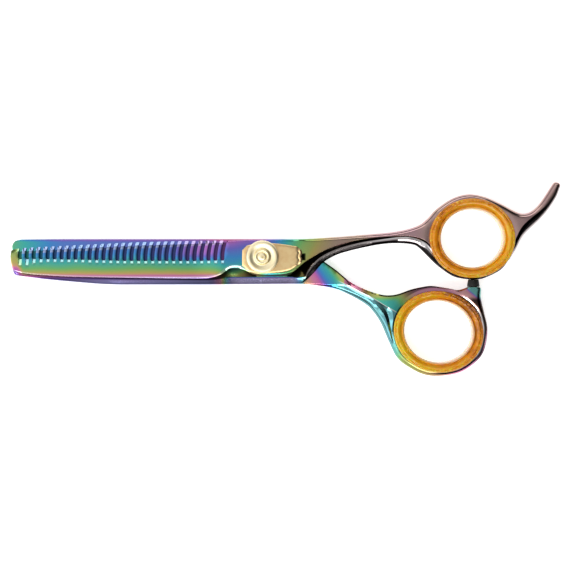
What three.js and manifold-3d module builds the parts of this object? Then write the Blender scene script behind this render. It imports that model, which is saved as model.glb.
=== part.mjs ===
// Hairdresser's thinning shears, closed. Millimetres, +Z up.
// They lie flat with the tension dial up, the blades towards -X and the finger rings towards +X.
// The origin is on the pivot axis, in the plane that the shears rest on.
//
// The toothed half carries the finger ring and the tang. The straight half lies under it, and
// carries the thumb ring and the rubber bumper. They meet in the ride plane, and turn on the
// pivot bolt, whose flats are held by the toothed half.

import * as THREE from 'three';
import { mergeVertices } from 'three/addons/utils/BufferGeometryUtils.js';
import { TessellateModifier } from 'three/addons/modifiers/TessellateModifier.js';
import Module from 'manifold-3d';

const wasm = await Module();
wasm.setup();

// Heights
const INSERT_HEIGHT = 7.5;                // finger inserts, flange to flange
const RIDE_Z = INSERT_HEIGHT / 2;         // plane in which the two halves meet
const RIDE_GAP = 0.05;                    // each half's distance from that plane
const HEEL_THICKNESS = 3.2;               // each half, round the pivot
const TIP_THICKNESS = 1.6;                // each half, at the tip of its blade
const EDGE_SHARE = 0.55;                  // thickness left along the teeth or edge
const RING_THICKNESS = 4.4;               // metal of both finger rings and shanks
const TANG_THICKNESS = 3.0;               // end of the tang
const FIT = 0.05;                         // running clearance between turned parts

// Stations along X
const TIP_X = -75.8;
const BLADE_X = -12;                      // where the blades end and the heels begin
const FLAT_END_X = 20;                    // the heels are flat up to here
const SHANK_END_X = 38;                   // the shanks have the rings' height from here
const TANG_X = 78;
const TANG_END_X = 89.4;

// Teeth
const SLOT_COUNT = 30;
const SLOT_PITCH = 2.1;
const SLOT_WIDTH = 1.05;
const FIRST_SLOT_X = -72.8;
const SLOT_LEAN = 0.7;                    // how far a slot's mouth leans towards the heel
const FIRST_ROOT_Y = -0.9;
const LAST_ROOT_Y = -1.9;
const SLOT_TOP_Y = 6;

// Rounding of the forged edges
const EDGE_ROUND = 0.5;
const EDGE_ROUND_SHARE = 0.12;            // of the thickness
const LONGEST_EDGE = 14;                  // of a forged face's triangles

// Pivot
const BOLT_HEAD = { radius: 4.3, height: 0.9 };
const JOURNAL_RADIUS = 2.5;
const KEY = { radius: 2.2, halfWidth: 1.85 };
const THREAD = { radius: 1.8, top: 9.4 };
const WASHER = { inner: 2.6, outer: 4.5, thickness: 0.6 };
const LEAF_THICKNESS = 0.6;
const LEAF_HOLE_RADIUS = 2.6;
const LEAF_LIP = { x: 11.9, halfWidth: 0.6, depth: 0.7 };
const DIAL = { radius: 4.85, height: 2.5 };

// Finger holes: centre, tilt, the insert's hole on its long axis, and short axis over long axis
const FINGER_HOLE = { x: 62.8, y: 5.6, tilt: 0, hole: 9.35, flange: 12.8, squash: 0.93 };
const THUMB_HOLE = { x: 52.7, y: -22.4, tilt: -12, hole: 10.25, flange: 13.5, squash: 0.9 };
const INSERT_WALL = 1.4;                  // between the finger and the metal
const BUMPER = { x: 63.4, low: -9, high: -6.76, radius: 1.85, topRadius: 1.6 };
const BUMPER_STEM = { radius: 1.0, length: 2.6 };

const ROUND_SIDES = 40;

const heelTop = RIDE_Z + RIDE_GAP + HEEL_THICKNESS;
const ringLow = RIDE_Z - RING_THICKNESS / 2;
const ringHigh = RIDE_Z + RING_THICKNESS / 2;
const leafLow = heelTop + FIT;
const dialLow = leafLow + LEAF_THICKNESS + FIT;

// ---- small helpers ----

const points = (list) => list.map(([x, y]) => new THREE.Vector2(x, y));
const degrees = THREE.MathUtils.degToRad;
const mix = THREE.MathUtils.lerp;
const smooth = THREE.MathUtils.smoothstep;
const share = (x, from, to) => THREE.MathUtils.clamp((x - from) / (to - from), 0, 1);

function solid(geometry) {
  const bare = geometry.index ? geometry.toNonIndexed() : geometry.clone();
  bare.deleteAttribute('normal');
  bare.deleteAttribute('uv');
  const merged = mergeVertices(bare, 1e-4);
  return new wasm.Manifold(new wasm.Mesh({
    numProp: 3,
    vertProperties: new Float32Array(merged.attributes.position.array),
    triVerts: new Uint32Array(merged.index.array),
  }));
}

function geometryOf(body) {
  const { vertProperties, triVerts } = body.getMesh();
  const geometry = new THREE.BufferGeometry();
  geometry.setAttribute('position', new THREE.BufferAttribute(new Float32Array(vertProperties), 3));
  geometry.setIndex(new THREE.BufferAttribute(new Uint32Array(triVerts), 1));
  return geometry;
}

function named(name, body, color, metalness, roughness) {
  const material = new THREE.MeshStandardMaterial({ color, metalness, roughness });
  const mesh = new THREE.Mesh(geometryOf(body), material);
  mesh.name = name;
  return mesh;
}

// A turned solid round the Z axis, from [radius, z] pairs that start and end on the axis.
function turned(profile) {
  const lathe = new THREE.LatheGeometry(points(profile), ROUND_SIDES);
  return lathe.rotateX(Math.PI / 2);
}

function disc(radius, low, high) {
  return turned([[0, low], [radius, low], [radius, high], [0, high]]);
}

function slab(shape, low, high) {
  const options = { depth: high - low, bevelEnabled: false, curveSegments: 12 };
  return new THREE.ExtrudeGeometry(shape, options).translate(0, 0, low);
}

// A forged plate: the outline extruded with rounded edges, split into small triangles, then
// stretched between two surfaces.
function forged(shape, lowAt, highAt) {
  const flat = new THREE.ExtrudeGeometry(shape, {
    depth: 1 - 2 * EDGE_ROUND_SHARE,
    bevelThickness: EDGE_ROUND_SHARE,
    bevelSize: EDGE_ROUND,
    bevelOffset: -EDGE_ROUND,
    bevelSegments: 1,
    curveSegments: 3,
  });
  const geometry = new TessellateModifier(LONGEST_EDGE, 20).modify(flat);
  const position = geometry.attributes.position;
  for (let i = 0; i < position.count; i += 1) {
    const [x, y] = [position.getX(i), position.getY(i)];
    const height = position.getZ(i) + EDGE_ROUND_SHARE;
    position.setZ(i, mix(lowAt(x, y), highAt(x, y), height));
  }
  return geometry;
}

// ---- outlines ----

// Clockwise or not does not matter to a Shape. This one starts at the tip and runs along the
// spine, the shank, round the finger ring and the tang, and back along the teeth.
function toothedOutline() {
  const shape = new THREE.Shape();
  shape.moveTo(-75.7, 1.8);
  shape.lineTo(-74.6, -4.8);
  shape.splineThru(points([[-72, -5.8], [-63, -6.9], [-50, -8], [-40, -8.3]]));
  shape.lineTo(BLADE_X, -8.3);
  shape.lineTo(12.2, -8.1);
  shape.splineThru(points([[14.9, -4.5], [18.2, -1.5], [25.7, 1.35], [35.3, 3.45], [42.5, 3.75]]));
  shape.splineThru(points([[47.3, 2.25], [52.1, -2.4], [56.9, -5.7], [63.4, -6.7], [68.9, -5.55],
    [73.7, -1.35], [78.5, 6.6], [85.7, 14.1], [89.2, 20.6]]));
  shape.splineThru(points([[89.2, 21.9], [88.1, 22.5], [86.9, 21.7]]));
  shape.splineThru(points([[83.3, 16.2], [78.5, 13.1], [71.3, 16.2], [61.7, 18.9], [52, 14.3],
    [43.7, 8.4], [25.7, 6.3], [11.3, 5.1]]));
  shape.lineTo(BLADE_X, 4.6);
  shape.splineThru(points([[-35, 4.2], [-55, 3.3], [-71.4, 2.5]]));
  shape.closePath();
  return shape;
}

// From the tip along the spine, the heel and the shank, round the bumper's boss and the thumb
// ring, and back along the cutting edge.
function straightOutline() {
  const shape = new THREE.Shape();
  shape.moveTo(-74.9, -1.6);
  shape.lineTo(-75.4, 3.2);
  shape.splineThru(points([[-75, 4.2], [-74, 5.1], [-72, 5.4]]));
  shape.lineTo(BLADE_X, 5.4);
  shape.lineTo(11, 5.4);
  shape.splineThru(points([[14.5, 4], [17.4, 0.4], [22, -2.9], [28.1, -8.1], [37.7, -11.4], [47.3, -9],
    [57.8, -10], [61.3, -9]]));
  shape.lineTo(65.3, -9);
  shape.splineThru(points([[65.7, -12.3], [67.7, -21.9], [64.1, -31.5], [53.3, -35.7], [42.5, -32.1],
    [37.7, -25.2], [32.9, -15.9], [23.3, -10.1], [13.1, -8.1]]));
  shape.lineTo(-5, -7.6);
  shape.splineThru(points([[-10, -6.4], [-14, -4.4]]));
  shape.closePath();
  return shape;
}

function leafOutline() {
  const shape = new THREE.Shape(points([[-6, -2.5], [-3.9, -4.6], [2.3, -4.95], [7.7, -4.2],
    [LEAF_LIP.x, -1.8], [LEAF_LIP.x, 2.1], [10.4, 3], [2.9, 4.05], [-1, 4.4], [-4.7, 3.3], [-6, 2]]));
  const hole = new THREE.Path();
  hole.absarc(0, 0, LEAF_HOLE_RADIUS, 0, 2 * Math.PI, true);
  shape.holes.push(hole);
  return shape;
}

// A circle with two flats, for the bolt's key and the hole that holds it.
function keyOutline(clearance) {
  const radius = KEY.radius + clearance;
  const flat = Math.acos((KEY.halfWidth + clearance) / radius);
  const shape = new THREE.Shape();
  shape.absarc(0, 0, radius, flat, Math.PI - flat, false);
  shape.absarc(0, 0, radius, Math.PI + flat, 2 * Math.PI - flat, false);
  shape.closePath();
  return shape;
}

// One slot between two teeth: round at its root, straight, then leaning at its mouth.
function slotOutline(x, rootY) {
  const half = SLOT_WIDTH / 2;
  const shape = new THREE.Shape();
  shape.moveTo(x - half, rootY + half);
  shape.absarc(x, rootY + half, half, Math.PI, 2 * Math.PI, false);
  shape.lineTo(x + half, 2);
  shape.lineTo(x + half + SLOT_LEAN, SLOT_TOP_Y);
  shape.lineTo(x - half + SLOT_LEAN, SLOT_TOP_Y);
  shape.lineTo(x - half, 2);
  shape.closePath();
  return shape;
}

// ---- heights of the two halves ----

// Thickness of a blade: it falls to the tip, and from the spine to the working edge.
function bladeThickness(x, fromSpine) {
  const along = 1 - share(x, TIP_X, BLADE_X);
  const full = mix(HEEL_THICKNESS, TIP_THICKNESS, along);
  return full * mix(1, EDGE_SHARE, fromSpine * smooth(along, 0, 0.15));
}

function tangTaper(x) {
  return mix(RING_THICKNESS, TANG_THICKNESS, share(x, TANG_X, TANG_END_X)) / 2;
}

function toothedLow(x) {
  const shank = smooth(x, FLAT_END_X, SHANK_END_X);
  return mix(RIDE_Z + RIDE_GAP, RIDE_Z - tangTaper(x), shank);
}

function toothedHigh(x, y) {
  if (x < BLADE_X) {
    return RIDE_Z + RIDE_GAP + bladeThickness(x, share(y, -6, 4.6));
  }
  const shank = smooth(x, -BLADE_X, SHANK_END_X);
  return mix(heelTop, RIDE_Z + tangTaper(x), shank);
}

function straightHigh(x) {
  return mix(RIDE_Z - RIDE_GAP, ringHigh, smooth(x, FLAT_END_X, SHANK_END_X));
}

function straightLow(x, y) {
  if (x < BLADE_X) {
    return RIDE_Z - RIDE_GAP - bladeThickness(x, share(-y, -5.4, 4.4));
  }
  const heelLow = RIDE_Z - RIDE_GAP - HEEL_THICKNESS;
  return mix(heelLow, ringLow, smooth(x, -BLADE_X, SHANK_END_X));
}

// ---- rings and inserts ----

// Lays a turned solid into a finger hole: squashed to the hole's oval, tilted and moved.
function seated(geometry, hole) {
  return geometry.scale(1, hole.squash, 1).rotateZ(degrees(hole.tilt)).translate(hole.x, hole.y, 0);
}

function fingerHole(hole) {
  return seated(disc(hole.hole + INSERT_WALL, -1, INSERT_HEIGHT + 1), hole);
}

// A snap-in insert: two flanges, with the metal ring held between them.
function insert(hole) {
  const inner = hole.hole;
  const groove = inner + INSERT_WALL - FIT;
  const lowFlange = ringLow - FIT;
  const highFlange = ringHigh + FIT;
  const profile = [[inner, 1.2], [inner + 1, 0], [hole.flange - 0.6, 0], [hole.flange, 0.6],
    [hole.flange, lowFlange], [groove, lowFlange], [groove, highFlange], [hole.flange, highFlange],
    [hole.flange, INSERT_HEIGHT - 0.6], [hole.flange - 0.6, INSERT_HEIGHT],
    [inner + 1, INSERT_HEIGHT], [inner, INSERT_HEIGHT - 1.2], [inner, 1.2]];
  return solid(seated(turned(profile), hole));
}

// ---- the pieces ----

function makeToothedHalf() {
  let body = solid(forged(toothedOutline(), toothedLow, toothedHigh));
  for (let i = 0; i < SLOT_COUNT; i += 1) {
    const rootY = mix(FIRST_ROOT_Y, LAST_ROOT_Y, i / (SLOT_COUNT - 1));
    const slot = slotOutline(FIRST_SLOT_X + i * SLOT_PITCH, rootY);
    const options = { depth: INSERT_HEIGHT, bevelEnabled: false, curveSegments: 3 };
    const cutter = new THREE.ExtrudeGeometry(slot, options).translate(0, 0, RIDE_Z - 1);
    body = body.subtract(solid(cutter));
  }
  const recess = disc(WASHER.outer + 0.2, RIDE_Z - 1, RIDE_Z + WASHER.thickness / 2 + FIT);
  const lipSlot = new THREE.BoxGeometry(1.1, 2 * LEAF_LIP.halfWidth + 0.4, 1.8);
  lipSlot.translate(LEAF_LIP.x - 0.15, 0, heelTop);
  return body.subtract(solid(recess))
    .subtract(solid(slab(keyOutline(FIT), RIDE_Z - 1, heelTop + 1)))
    .subtract(solid(lipSlot))
    .subtract(solid(fingerHole(FINGER_HOLE)));
}

function makeStraightHalf() {
  const body = solid(forged(straightOutline(), straightLow, straightHigh));
  const recess = disc(WASHER.outer + 0.2, RIDE_Z - WASHER.thickness / 2 - FIT, RIDE_Z + 1);
  const headRecess = disc(BOLT_HEAD.radius + 0.2, -1, BOLT_HEAD.height + FIT);
  const stemHole = bumperTurned([[0, -BUMPER_STEM.length - FIT], [BUMPER_STEM.radius + FIT,
    -BUMPER_STEM.length - FIT], [BUMPER_STEM.radius + FIT, 1], [0, 1]]);
  return body.subtract(solid(recess))
    .subtract(solid(headRecess))
    .subtract(solid(disc(JOURNAL_RADIUS + FIT, -1, RIDE_Z + 1)))
    .subtract(solid(stemHole))
    .subtract(solid(fingerHole(THUMB_HOLE)));
}

function makePivotBolt() {
  const journalTop = RIDE_Z + WASHER.thickness / 2;
  const turnedPart = turned([[0, 0], [BOLT_HEAD.radius - 0.3, 0], [BOLT_HEAD.radius, 0.3],
    [BOLT_HEAD.radius, BOLT_HEAD.height], [JOURNAL_RADIUS, BOLT_HEAD.height],
    [JOURNAL_RADIUS, journalTop], [THREAD.radius, journalTop],
    [THREAD.radius, THREAD.top], [0, THREAD.top]]);
  return solid(turnedPart).add(solid(slab(keyOutline(0), journalTop - 0.5, heelTop)));
}

function makeGlideWasher() {
  const low = RIDE_Z - WASHER.thickness / 2;
  const high = RIDE_Z + WASHER.thickness / 2;
  return solid(turned([[WASHER.inner, low], [WASHER.outer, low], [WASHER.outer, high],
    [WASHER.inner, high], [WASHER.inner, low]]));
}

function makeLeafSpring() {
  const plate = slab(leafOutline(), leafLow, leafLow + LEAF_THICKNESS);
  const lipHeight = LEAF_THICKNESS + LEAF_LIP.depth + FIT;
  const lip = new THREE.BoxGeometry(LEAF_THICKNESS, 2 * LEAF_LIP.halfWidth, lipHeight);
  lip.translate(LEAF_LIP.x - LEAF_THICKNESS / 2, 0, leafLow + LEAF_THICKNESS - lipHeight / 2);
  return solid(plate).add(solid(lip));
}

// A dished dial with a raised boss, and a blind thread from below.
function makeTensionDial() {
  const top = dialLow + DIAL.height;
  const bore = THREAD.radius + FIT;
  return solid(turned([[0, THREAD.top + FIT], [bore, THREAD.top + FIT], [bore, dialLow],
    [DIAL.radius - 0.3, dialLow], [DIAL.radius, dialLow + 0.3], [DIAL.radius, top - 0.9],
    [DIAL.radius - 0.4, top - 0.5], [DIAL.radius - 1.2, top - 0.5], [2.9, top - 0.9],
    [2.5, top - 0.9], [2.3, top - 0.2], [2, top], [0, top]]));
}

// Turns a profile of [radius, distance beyond the boss] pairs round the bumper's own axis.
function bumperTurned(profile) {
  return turned(profile).rotateX(-Math.PI / 2).translate(BUMPER.x, BUMPER.low, RIDE_Z);
}

function makeBumper() {
  const height = BUMPER.high - BUMPER.low;
  return solid(bumperTurned([[0, -BUMPER_STEM.length], [BUMPER_STEM.radius, -BUMPER_STEM.length],
    [BUMPER_STEM.radius, FIT], [BUMPER.radius, FIT], [BUMPER.topRadius, height], [0, height]]));
}

const group = new THREE.Group();
group.add(named('toothed_half', makeToothedHalf(), 0x6a5a86, 0.95, 0.16));
group.add(named('straight_half', makeStraightHalf(), 0x3f7a86, 0.95, 0.16));
group.add(named('pivot_bolt', makePivotBolt(), 0xd9bd8c, 0.95, 0.3));
group.add(named('glide_washer', makeGlideWasher(), 0xf2f2ee, 0, 0.5));
group.add(named('leaf_spring', makeLeafSpring(), 0xb89a6a, 0.95, 0.35));
group.add(named('tension_dial', makeTensionDial(), 0xe2c79a, 0.95, 0.22));
group.add(named('finger_insert', insert(FINGER_HOLE), 0xe8a21c, 0, 0.2));
group.add(named('thumb_insert', insert(THUMB_HOLE), 0xe8a21c, 0, 0.2));
group.add(named('bumper', makeBumper(), 0x161616, 0, 0.8));

export default group;
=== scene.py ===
# %% [markdown]
# # Thinning shears
# A hairdresser's thinning shears, closed and lying flat. Two forged steel halves with a rainbow
# coating turn on a bolt under a gold tension dial. Amber inserts line the two finger holes.
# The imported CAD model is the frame: it says where each piece sits and what it moves with. Each
# piece below is a finer mesh that stands for one CAD node.

# %% Load the frame
import math

import bmesh
import bpy
import numpy as np
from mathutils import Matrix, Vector
from mathutils.geometry import delaunay_2d_cdt
from mathutils.kdtree import KDTree


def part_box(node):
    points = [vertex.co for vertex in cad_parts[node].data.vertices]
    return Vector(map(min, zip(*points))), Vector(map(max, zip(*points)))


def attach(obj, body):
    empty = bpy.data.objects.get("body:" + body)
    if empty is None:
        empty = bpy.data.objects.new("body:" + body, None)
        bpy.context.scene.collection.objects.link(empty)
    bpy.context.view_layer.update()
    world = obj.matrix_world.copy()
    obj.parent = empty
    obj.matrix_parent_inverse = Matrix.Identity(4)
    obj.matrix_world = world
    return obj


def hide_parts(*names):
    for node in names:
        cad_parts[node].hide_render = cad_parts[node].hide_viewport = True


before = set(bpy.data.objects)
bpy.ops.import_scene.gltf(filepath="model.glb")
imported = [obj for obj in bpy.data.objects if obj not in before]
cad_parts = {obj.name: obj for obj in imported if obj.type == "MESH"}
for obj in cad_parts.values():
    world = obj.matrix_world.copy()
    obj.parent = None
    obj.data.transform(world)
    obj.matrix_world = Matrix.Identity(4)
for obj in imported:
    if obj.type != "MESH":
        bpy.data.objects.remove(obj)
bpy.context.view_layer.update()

MM = 0.001

# %% [markdown]
# ## Camera
# The shears are looked at from straight above. A long lens half a metre up keeps the outline
# true, and still shows a little of the side walls.

# %% Camera
CAMERA_HEIGHT = 0.45
PICTURE_WIDTH = 0.1728
AIM = (0.00765, -0.0093)

camera_data = bpy.data.cameras.new("overhead_camera")
camera_data.sensor_width = 36
camera_data.lens = 36 * (CAMERA_HEIGHT - 0.005) / PICTURE_WIDTH
camera = bpy.data.objects.new("overhead_camera", camera_data)
camera.location = (AIM[0], AIM[1], CAMERA_HEIGHT)
bpy.context.scene.collection.objects.link(camera)
bpy.context.scene.camera = camera
bpy.context.scene.view_settings.view_transform = "Standard"
print(f"lens {camera_data.lens:.1f} mm, picture {PICTURE_WIDTH * 1000:.0f} mm wide")

# %% [markdown]
# ## Floor
# A plain white sheet, so wide that its end is far away. It glows a little, as a lit sheet on a light
# table does, which keeps the shadows faint.

# %% Floor
def shader(name):
    """A new material, its Principled node and its node tree."""
    material = bpy.data.materials.new(name)
    material.use_nodes = True
    tree = material.node_tree
    return material, tree.nodes["Principled BSDF"], tree


def mesh_object(name, vertices, faces):
    mesh = bpy.data.meshes.new(name)
    mesh.from_pydata([tuple(v) for v in vertices], [], [tuple(f) for f in faces])
    mesh.validate()
    mesh.update()
    piece = bpy.data.objects.new(name, mesh)
    bpy.context.scene.collection.objects.link(piece)
    return piece


FLOOR_HALF = 6.0
FLOOR_LEVEL = -0.0002
corners = [(-1, -1), (1, -1), (1, 1), (-1, 1)]
floor = mesh_object("white_sheet", [(x * FLOOR_HALF, y * FLOOR_HALF, FLOOR_LEVEL) for x, y in corners],
                    [(0, 1, 2, 3)])
paper, paper_bsdf, _ = shader("white_paper")
paper_bsdf.inputs["Base Color"].default_value = (0.9, 0.9, 0.9, 1)
paper_bsdf.inputs["Roughness"].default_value = 0.9
paper_bsdf.inputs["Specular IOR Level"].default_value = 0.1
paper_bsdf.inputs["Emission Color"].default_value = (1, 1, 1, 1)
paper_bsdf.inputs["Emission Strength"].default_value = 0.65
floor.data.materials.append(paper)
print(f"sheet {2 * FLOOR_HALF:.0f} m wide")

# %% [markdown]
# ## Light
# Polished metal shows what is round it. The sky is bright overhead and on the left, and dark on
# the right and near the horizon, which draws the dark lines along the steep edges. Three soft
# boxes add the highlights: a large one on the left, one behind, and a key that the small bevels
# along the ridges pick up. Seen directly, past the end of the sheet, the room is plain pale grey.

# %% Light
def soft_box(name, place, size, radiance, aim=(0, 0, 0)):
    """A lamp the metal can see. Its power follows from how bright its face should look."""
    light = bpy.data.lights.new(name, "AREA")
    light.shape = "RECTANGLE"
    light.size, light.size_y = size
    light.energy = math.pi * size[0] * size[1] * radiance
    lamp = bpy.data.objects.new(name, light)
    lamp.location = place
    lamp.rotation_euler = (Vector(aim) - Vector(place)).to_track_quat("-Z", "Y").to_euler()
    bpy.context.scene.collection.objects.link(lamp)
    return lamp


soft_box("left_box", (-0.72, -0.25, 0.42), (0.55, 0.5), 1.6)
soft_box("back_box", (0.0, 0.72, 0.45), (0.8, 0.35), 1.7)
soft_box("key_box", (-0.05, -0.4, 0.72), (0.85, 0.2), 5.0)

print("three soft boxes")

# %% Sky
SKY = [(0.3, 0.03), (0.5, 0.2), (0.75, 0.74), (0.95, 1.2)]
BRIGHT_SIDE = (-0.6, -0.05, 0.75)
ROOM_GREY = (0.86, 0.86, 0.87)
world = bpy.data.worlds.new("studio")
bpy.context.scene.world = world
world.use_nodes = True
sky = world.node_tree
background = sky.nodes["Background"]
direction = sky.nodes.new("ShaderNodeTexCoord")
tilt = sky.nodes.new("ShaderNodeVectorMath")
tilt.operation = "DOT_PRODUCT"
tilt.inputs[1].default_value = BRIGHT_SIDE
ramp = sky.nodes.new("ShaderNodeValToRGB")
sky.links.new(direction.outputs["Generated"], tilt.inputs[0])
sky.links.new(tilt.outputs["Value"], ramp.inputs["Fac"])
seen = sky.nodes.new("ShaderNodeMix")
seen.data_type = "RGBA"
seen.inputs[7].default_value = (*ROOM_GREY, 1)
path = sky.nodes.new("ShaderNodeLightPath")
sky.links.new(path.outputs["Is Camera Ray"], seen.inputs["Factor"])
sky.links.new(ramp.outputs["Color"], seen.inputs[6])
sky.links.new(seen.outputs[2], background.inputs["Color"])
stops = ramp.color_ramp.elements
while len(stops) < len(SKY):
    stops.new(0.5)
for stop, (position, level) in zip(stops, SKY):
    stop.position = position
    stop.color = (level, level, level * 1.03, 1)
print("sky levels:", [level for _, level in SKY])

# %% [markdown]
# ## Curves and distances
# Both halves are sculpted plates: an outline seen from above, and a height for every point
# inside it. The heights depend on how far a point is from the outline and from the ridges that
# the polisher leaves, so smooth curves and distances to them come first.

# %% Curves and distances
def through(points, step=0.5):
    """A smooth curve through given points, sampled about every step millimetres."""
    points = np.asarray(points, float)
    padded = np.vstack([points[:1], points, points[-1:]])
    samples = []
    for a, b, c, d in zip(padded, padded[1:], padded[2:], padded[3:]):
        count = max(1, math.ceil(np.hypot(*(c - b)) / step))
        t = (np.arange(count) / count)[:, None]
        v0, v1 = (c - a) / 2, (d - b) / 2
        samples.append((2 * b - 2 * c + v0 + v1) * t**3
                       + (3 * c - 3 * b - 2 * v0 - v1) * t**2 + v0 * t + b)
    return np.vstack(samples + [points[-1:]])


def straight(a, b, step=0.5):
    count = max(1, math.ceil(math.dist(a, b) / step))
    t = np.linspace(0, 1, count + 1)[:, None]
    return np.asarray(a) * (1 - t) + np.asarray(b) * t


def joined(*parts):
    """Polylines end to end, without the points that two parts share."""
    line = np.vstack(parts)
    keep = np.r_[True, np.hypot(*np.diff(line, axis=0).T) > 1e-6]
    return line[keep]


def oval(centre, radii, tilt=0, count=120):
    angle = np.linspace(0, 2 * math.pi, count, endpoint=False)
    x, y = radii[0] * np.cos(angle), radii[1] * np.sin(angle)
    cosine, sine = math.cos(math.radians(tilt)), math.sin(math.radians(tilt))
    return np.column_stack([centre[0] + cosine * x - sine * y, centre[1] + sine * x + cosine * y])


def circle(radius, count=64):
    return oval((0, 0), (radius, radius), 0, count)


def closed(loop):
    return np.vstack([loop, loop[:1]])


BATCH = 2000


def distance(points, line, values=None):
    """Distance from each point to a polyline, and a value read along it at the nearest spot."""
    start, along = line[:-1], np.diff(line, axis=0)
    length2 = np.maximum((along**2).sum(1), 1e-12)
    best, read = np.empty(len(points)), np.empty(len(points))
    for low in range(0, len(points), BATCH):
        part = points[low:low + BATCH]
        to = part[:, None] - start[None]
        t = np.clip((to * along).sum(2) / length2, 0, 1)
        gap = np.hypot(*np.moveaxis(to - t[..., None] * along, 2, 0))
        near = gap.argmin(1)
        rows = np.arange(len(part))
        best[low:low + BATCH] = gap[rows, near]
        if values is not None:
            share = t[rows, near]
            read[low:low + BATCH] = mix(values[near], values[near + 1], share)
    return best if values is None else (best, read)


def inside(points, loop):
    """Which points lie inside a closed loop."""
    x, y = points.T
    result = np.zeros(len(points), bool)
    for (x0, y0), (x1, y1) in zip(loop, np.roll(loop, -1, axis=0)):
        crosses = (y0 > y) != (y1 > y)
        with np.errstate(divide="ignore", invalid="ignore"):
            result ^= crosses & (x < (x1 - x0) * (y - y0) / (y1 - y0) + x0)
    return result


def smooth(value, start, end):
    t = np.clip((value - start) / (end - start), 0, 1)
    return t * t * (3 - 2 * t)


def mix(a, b, t):
    return a * (1 - t) + b * t


def rows_beside(line, offsets):
    """Copies of a polyline moved sideways, to both or either side, one for each offset."""
    tangent = np.gradient(line, axis=0)
    tangent /= np.maximum(np.hypot(*tangent.T), 1e-9)[:, None]
    normal = np.column_stack([-tangent[:, 1], tangent[:, 0]])
    return [line + normal * np.broadcast_to(np.atleast_1d(o), len(line))[:, None] for o in offsets]

# %% [markdown]
# ## Sculpted plate
# A forging like this could be modelled from a box by hand with loop cuts. It is cut from a sheet
# instead: the outline, the ridges and a grid of inner points are joined into triangles by a
# constrained Delaunay triangulation, and the same triangles carry the upper and the lower
# surface. The ridges are edges of the mesh, so they stay crisp.

# %% Sculpted plate
def grid_points(loop, spacing):
    """A triangular grid over a loop's box."""
    low, high = loop.min(0), loop.max(0)
    rows = np.arange(low[1], high[1], spacing * 0.866)
    columns = np.arange(low[0], high[0], spacing)
    x, y = np.meshgrid(columns, rows)
    x = x + (np.arange(len(rows)) % 2)[:, None] * spacing / 2
    return np.column_stack([x.ravel(), y.ravel()])


ROW_CLEARANCE = 0.025


def sculpt(name, outer, holes, ridges, rows, top, bottom, spacing=0.9):
    """Triangulates the plate and lifts it to its two surfaces. All lengths are millimetres."""
    loops = [outer] + holes

    def solid(places):
        return inside(places, outer) & ~np.any([inside(places, hole) for hole in holes], axis=0)

    def clearance(places):
        return np.min([distance(places, wall) for wall in walls], axis=0)

    fixed = loops + ridges
    walls = [closed(loop) for loop in loops] + ridges
    rows = np.vstack(rows)
    rows = rows[(clearance(rows) > ROW_CLEARANCE) & solid(rows)]
    grid = grid_points(outer, spacing)
    grid = grid[solid(grid)]
    grid = grid[clearance(grid) > 0.4 * spacing]
    nearest = KDTree(len(rows))
    for i, (x, y) in enumerate(rows):
        nearest.insert((x, y, 0), i)
    nearest.balance()
    grid = grid[[nearest.find((x, y, 0))[2] > 0.4 * spacing for x, y in grid]]
    return triangulated(name, loops, fixed, np.vstack(fixed + [rows, grid]), solid, top, bottom)


def triangulated(name, loops, fixed, points, solid, top, bottom):
    """The fixed lines become edges. The other points only fill the plate."""
    edges, start = [], 0
    for line in fixed:
        count = len(line)
        edges += [(start + i, start + i + 1) for i in range(count - 1)]
        if any(line is loop for loop in loops):
            edges.append((start + count - 1, start))
        start += count
    flat, _, faces, *_ = delaunay_2d_cdt([Vector(p) for p in points], edges, [], 0, 1e-5)
    flat = np.array([tuple(v) for v in flat])
    faces = np.array([f for f in faces if len(f) == 3])
    faces = faces[solid(flat[faces].mean(1))]
    used = np.unique(faces)
    index = np.full(len(flat), -1)
    index[used] = np.arange(len(used))
    flat, faces = flat[used], index[faces]
    return close_plate(name, flat, faces, top(flat), bottom(flat))


def close_plate(name, flat, faces, high, low):
    """Joins the upper and lower surfaces with a wall along every open edge."""
    corner = flat[faces]
    turn = np.cross(corner[:, 1] - corner[:, 0], corner[:, 2] - corner[:, 0])
    faces[turn < 0] = faces[turn < 0][:, ::-1]
    directed = {(a, b) for f in faces.tolist() for a, b in zip(f, f[1:] + f[:1])}
    border = [(a, b) for a, b in directed if (b, a) not in directed]
    count = len(flat)
    vertices = np.vstack([np.column_stack([flat, high]), np.column_stack([flat, low])]) * MM
    walls = [(b, a, a + count, b + count) for a, b in border]
    piece = mesh_object(name, vertices, faces.tolist() + (faces[:, ::-1] + count).tolist() + walls)
    print(f"{name}: {len(vertices)} points, {len(piece.data.polygons)} faces")
    return piece


def finish_mesh(piece, sharp_degrees=34):
    """Smooth shading, broken only along edges sharper than the given angle."""
    mesh = piece.data
    mesh.shade_smooth()
    mesh.set_sharp_from_angle(angle=math.radians(sharp_degrees))
    return piece

# %% [markdown]
# ## Heights of the two halves
# The halves meet in the ride plane, through the middle of the glide washer. Each one is 3.2 mm
# thick round the pivot and thins to half of that at its tip. Behind the pivot the shanks swell
# into the rings, which are as thick as the grooves of the inserts.

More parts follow.
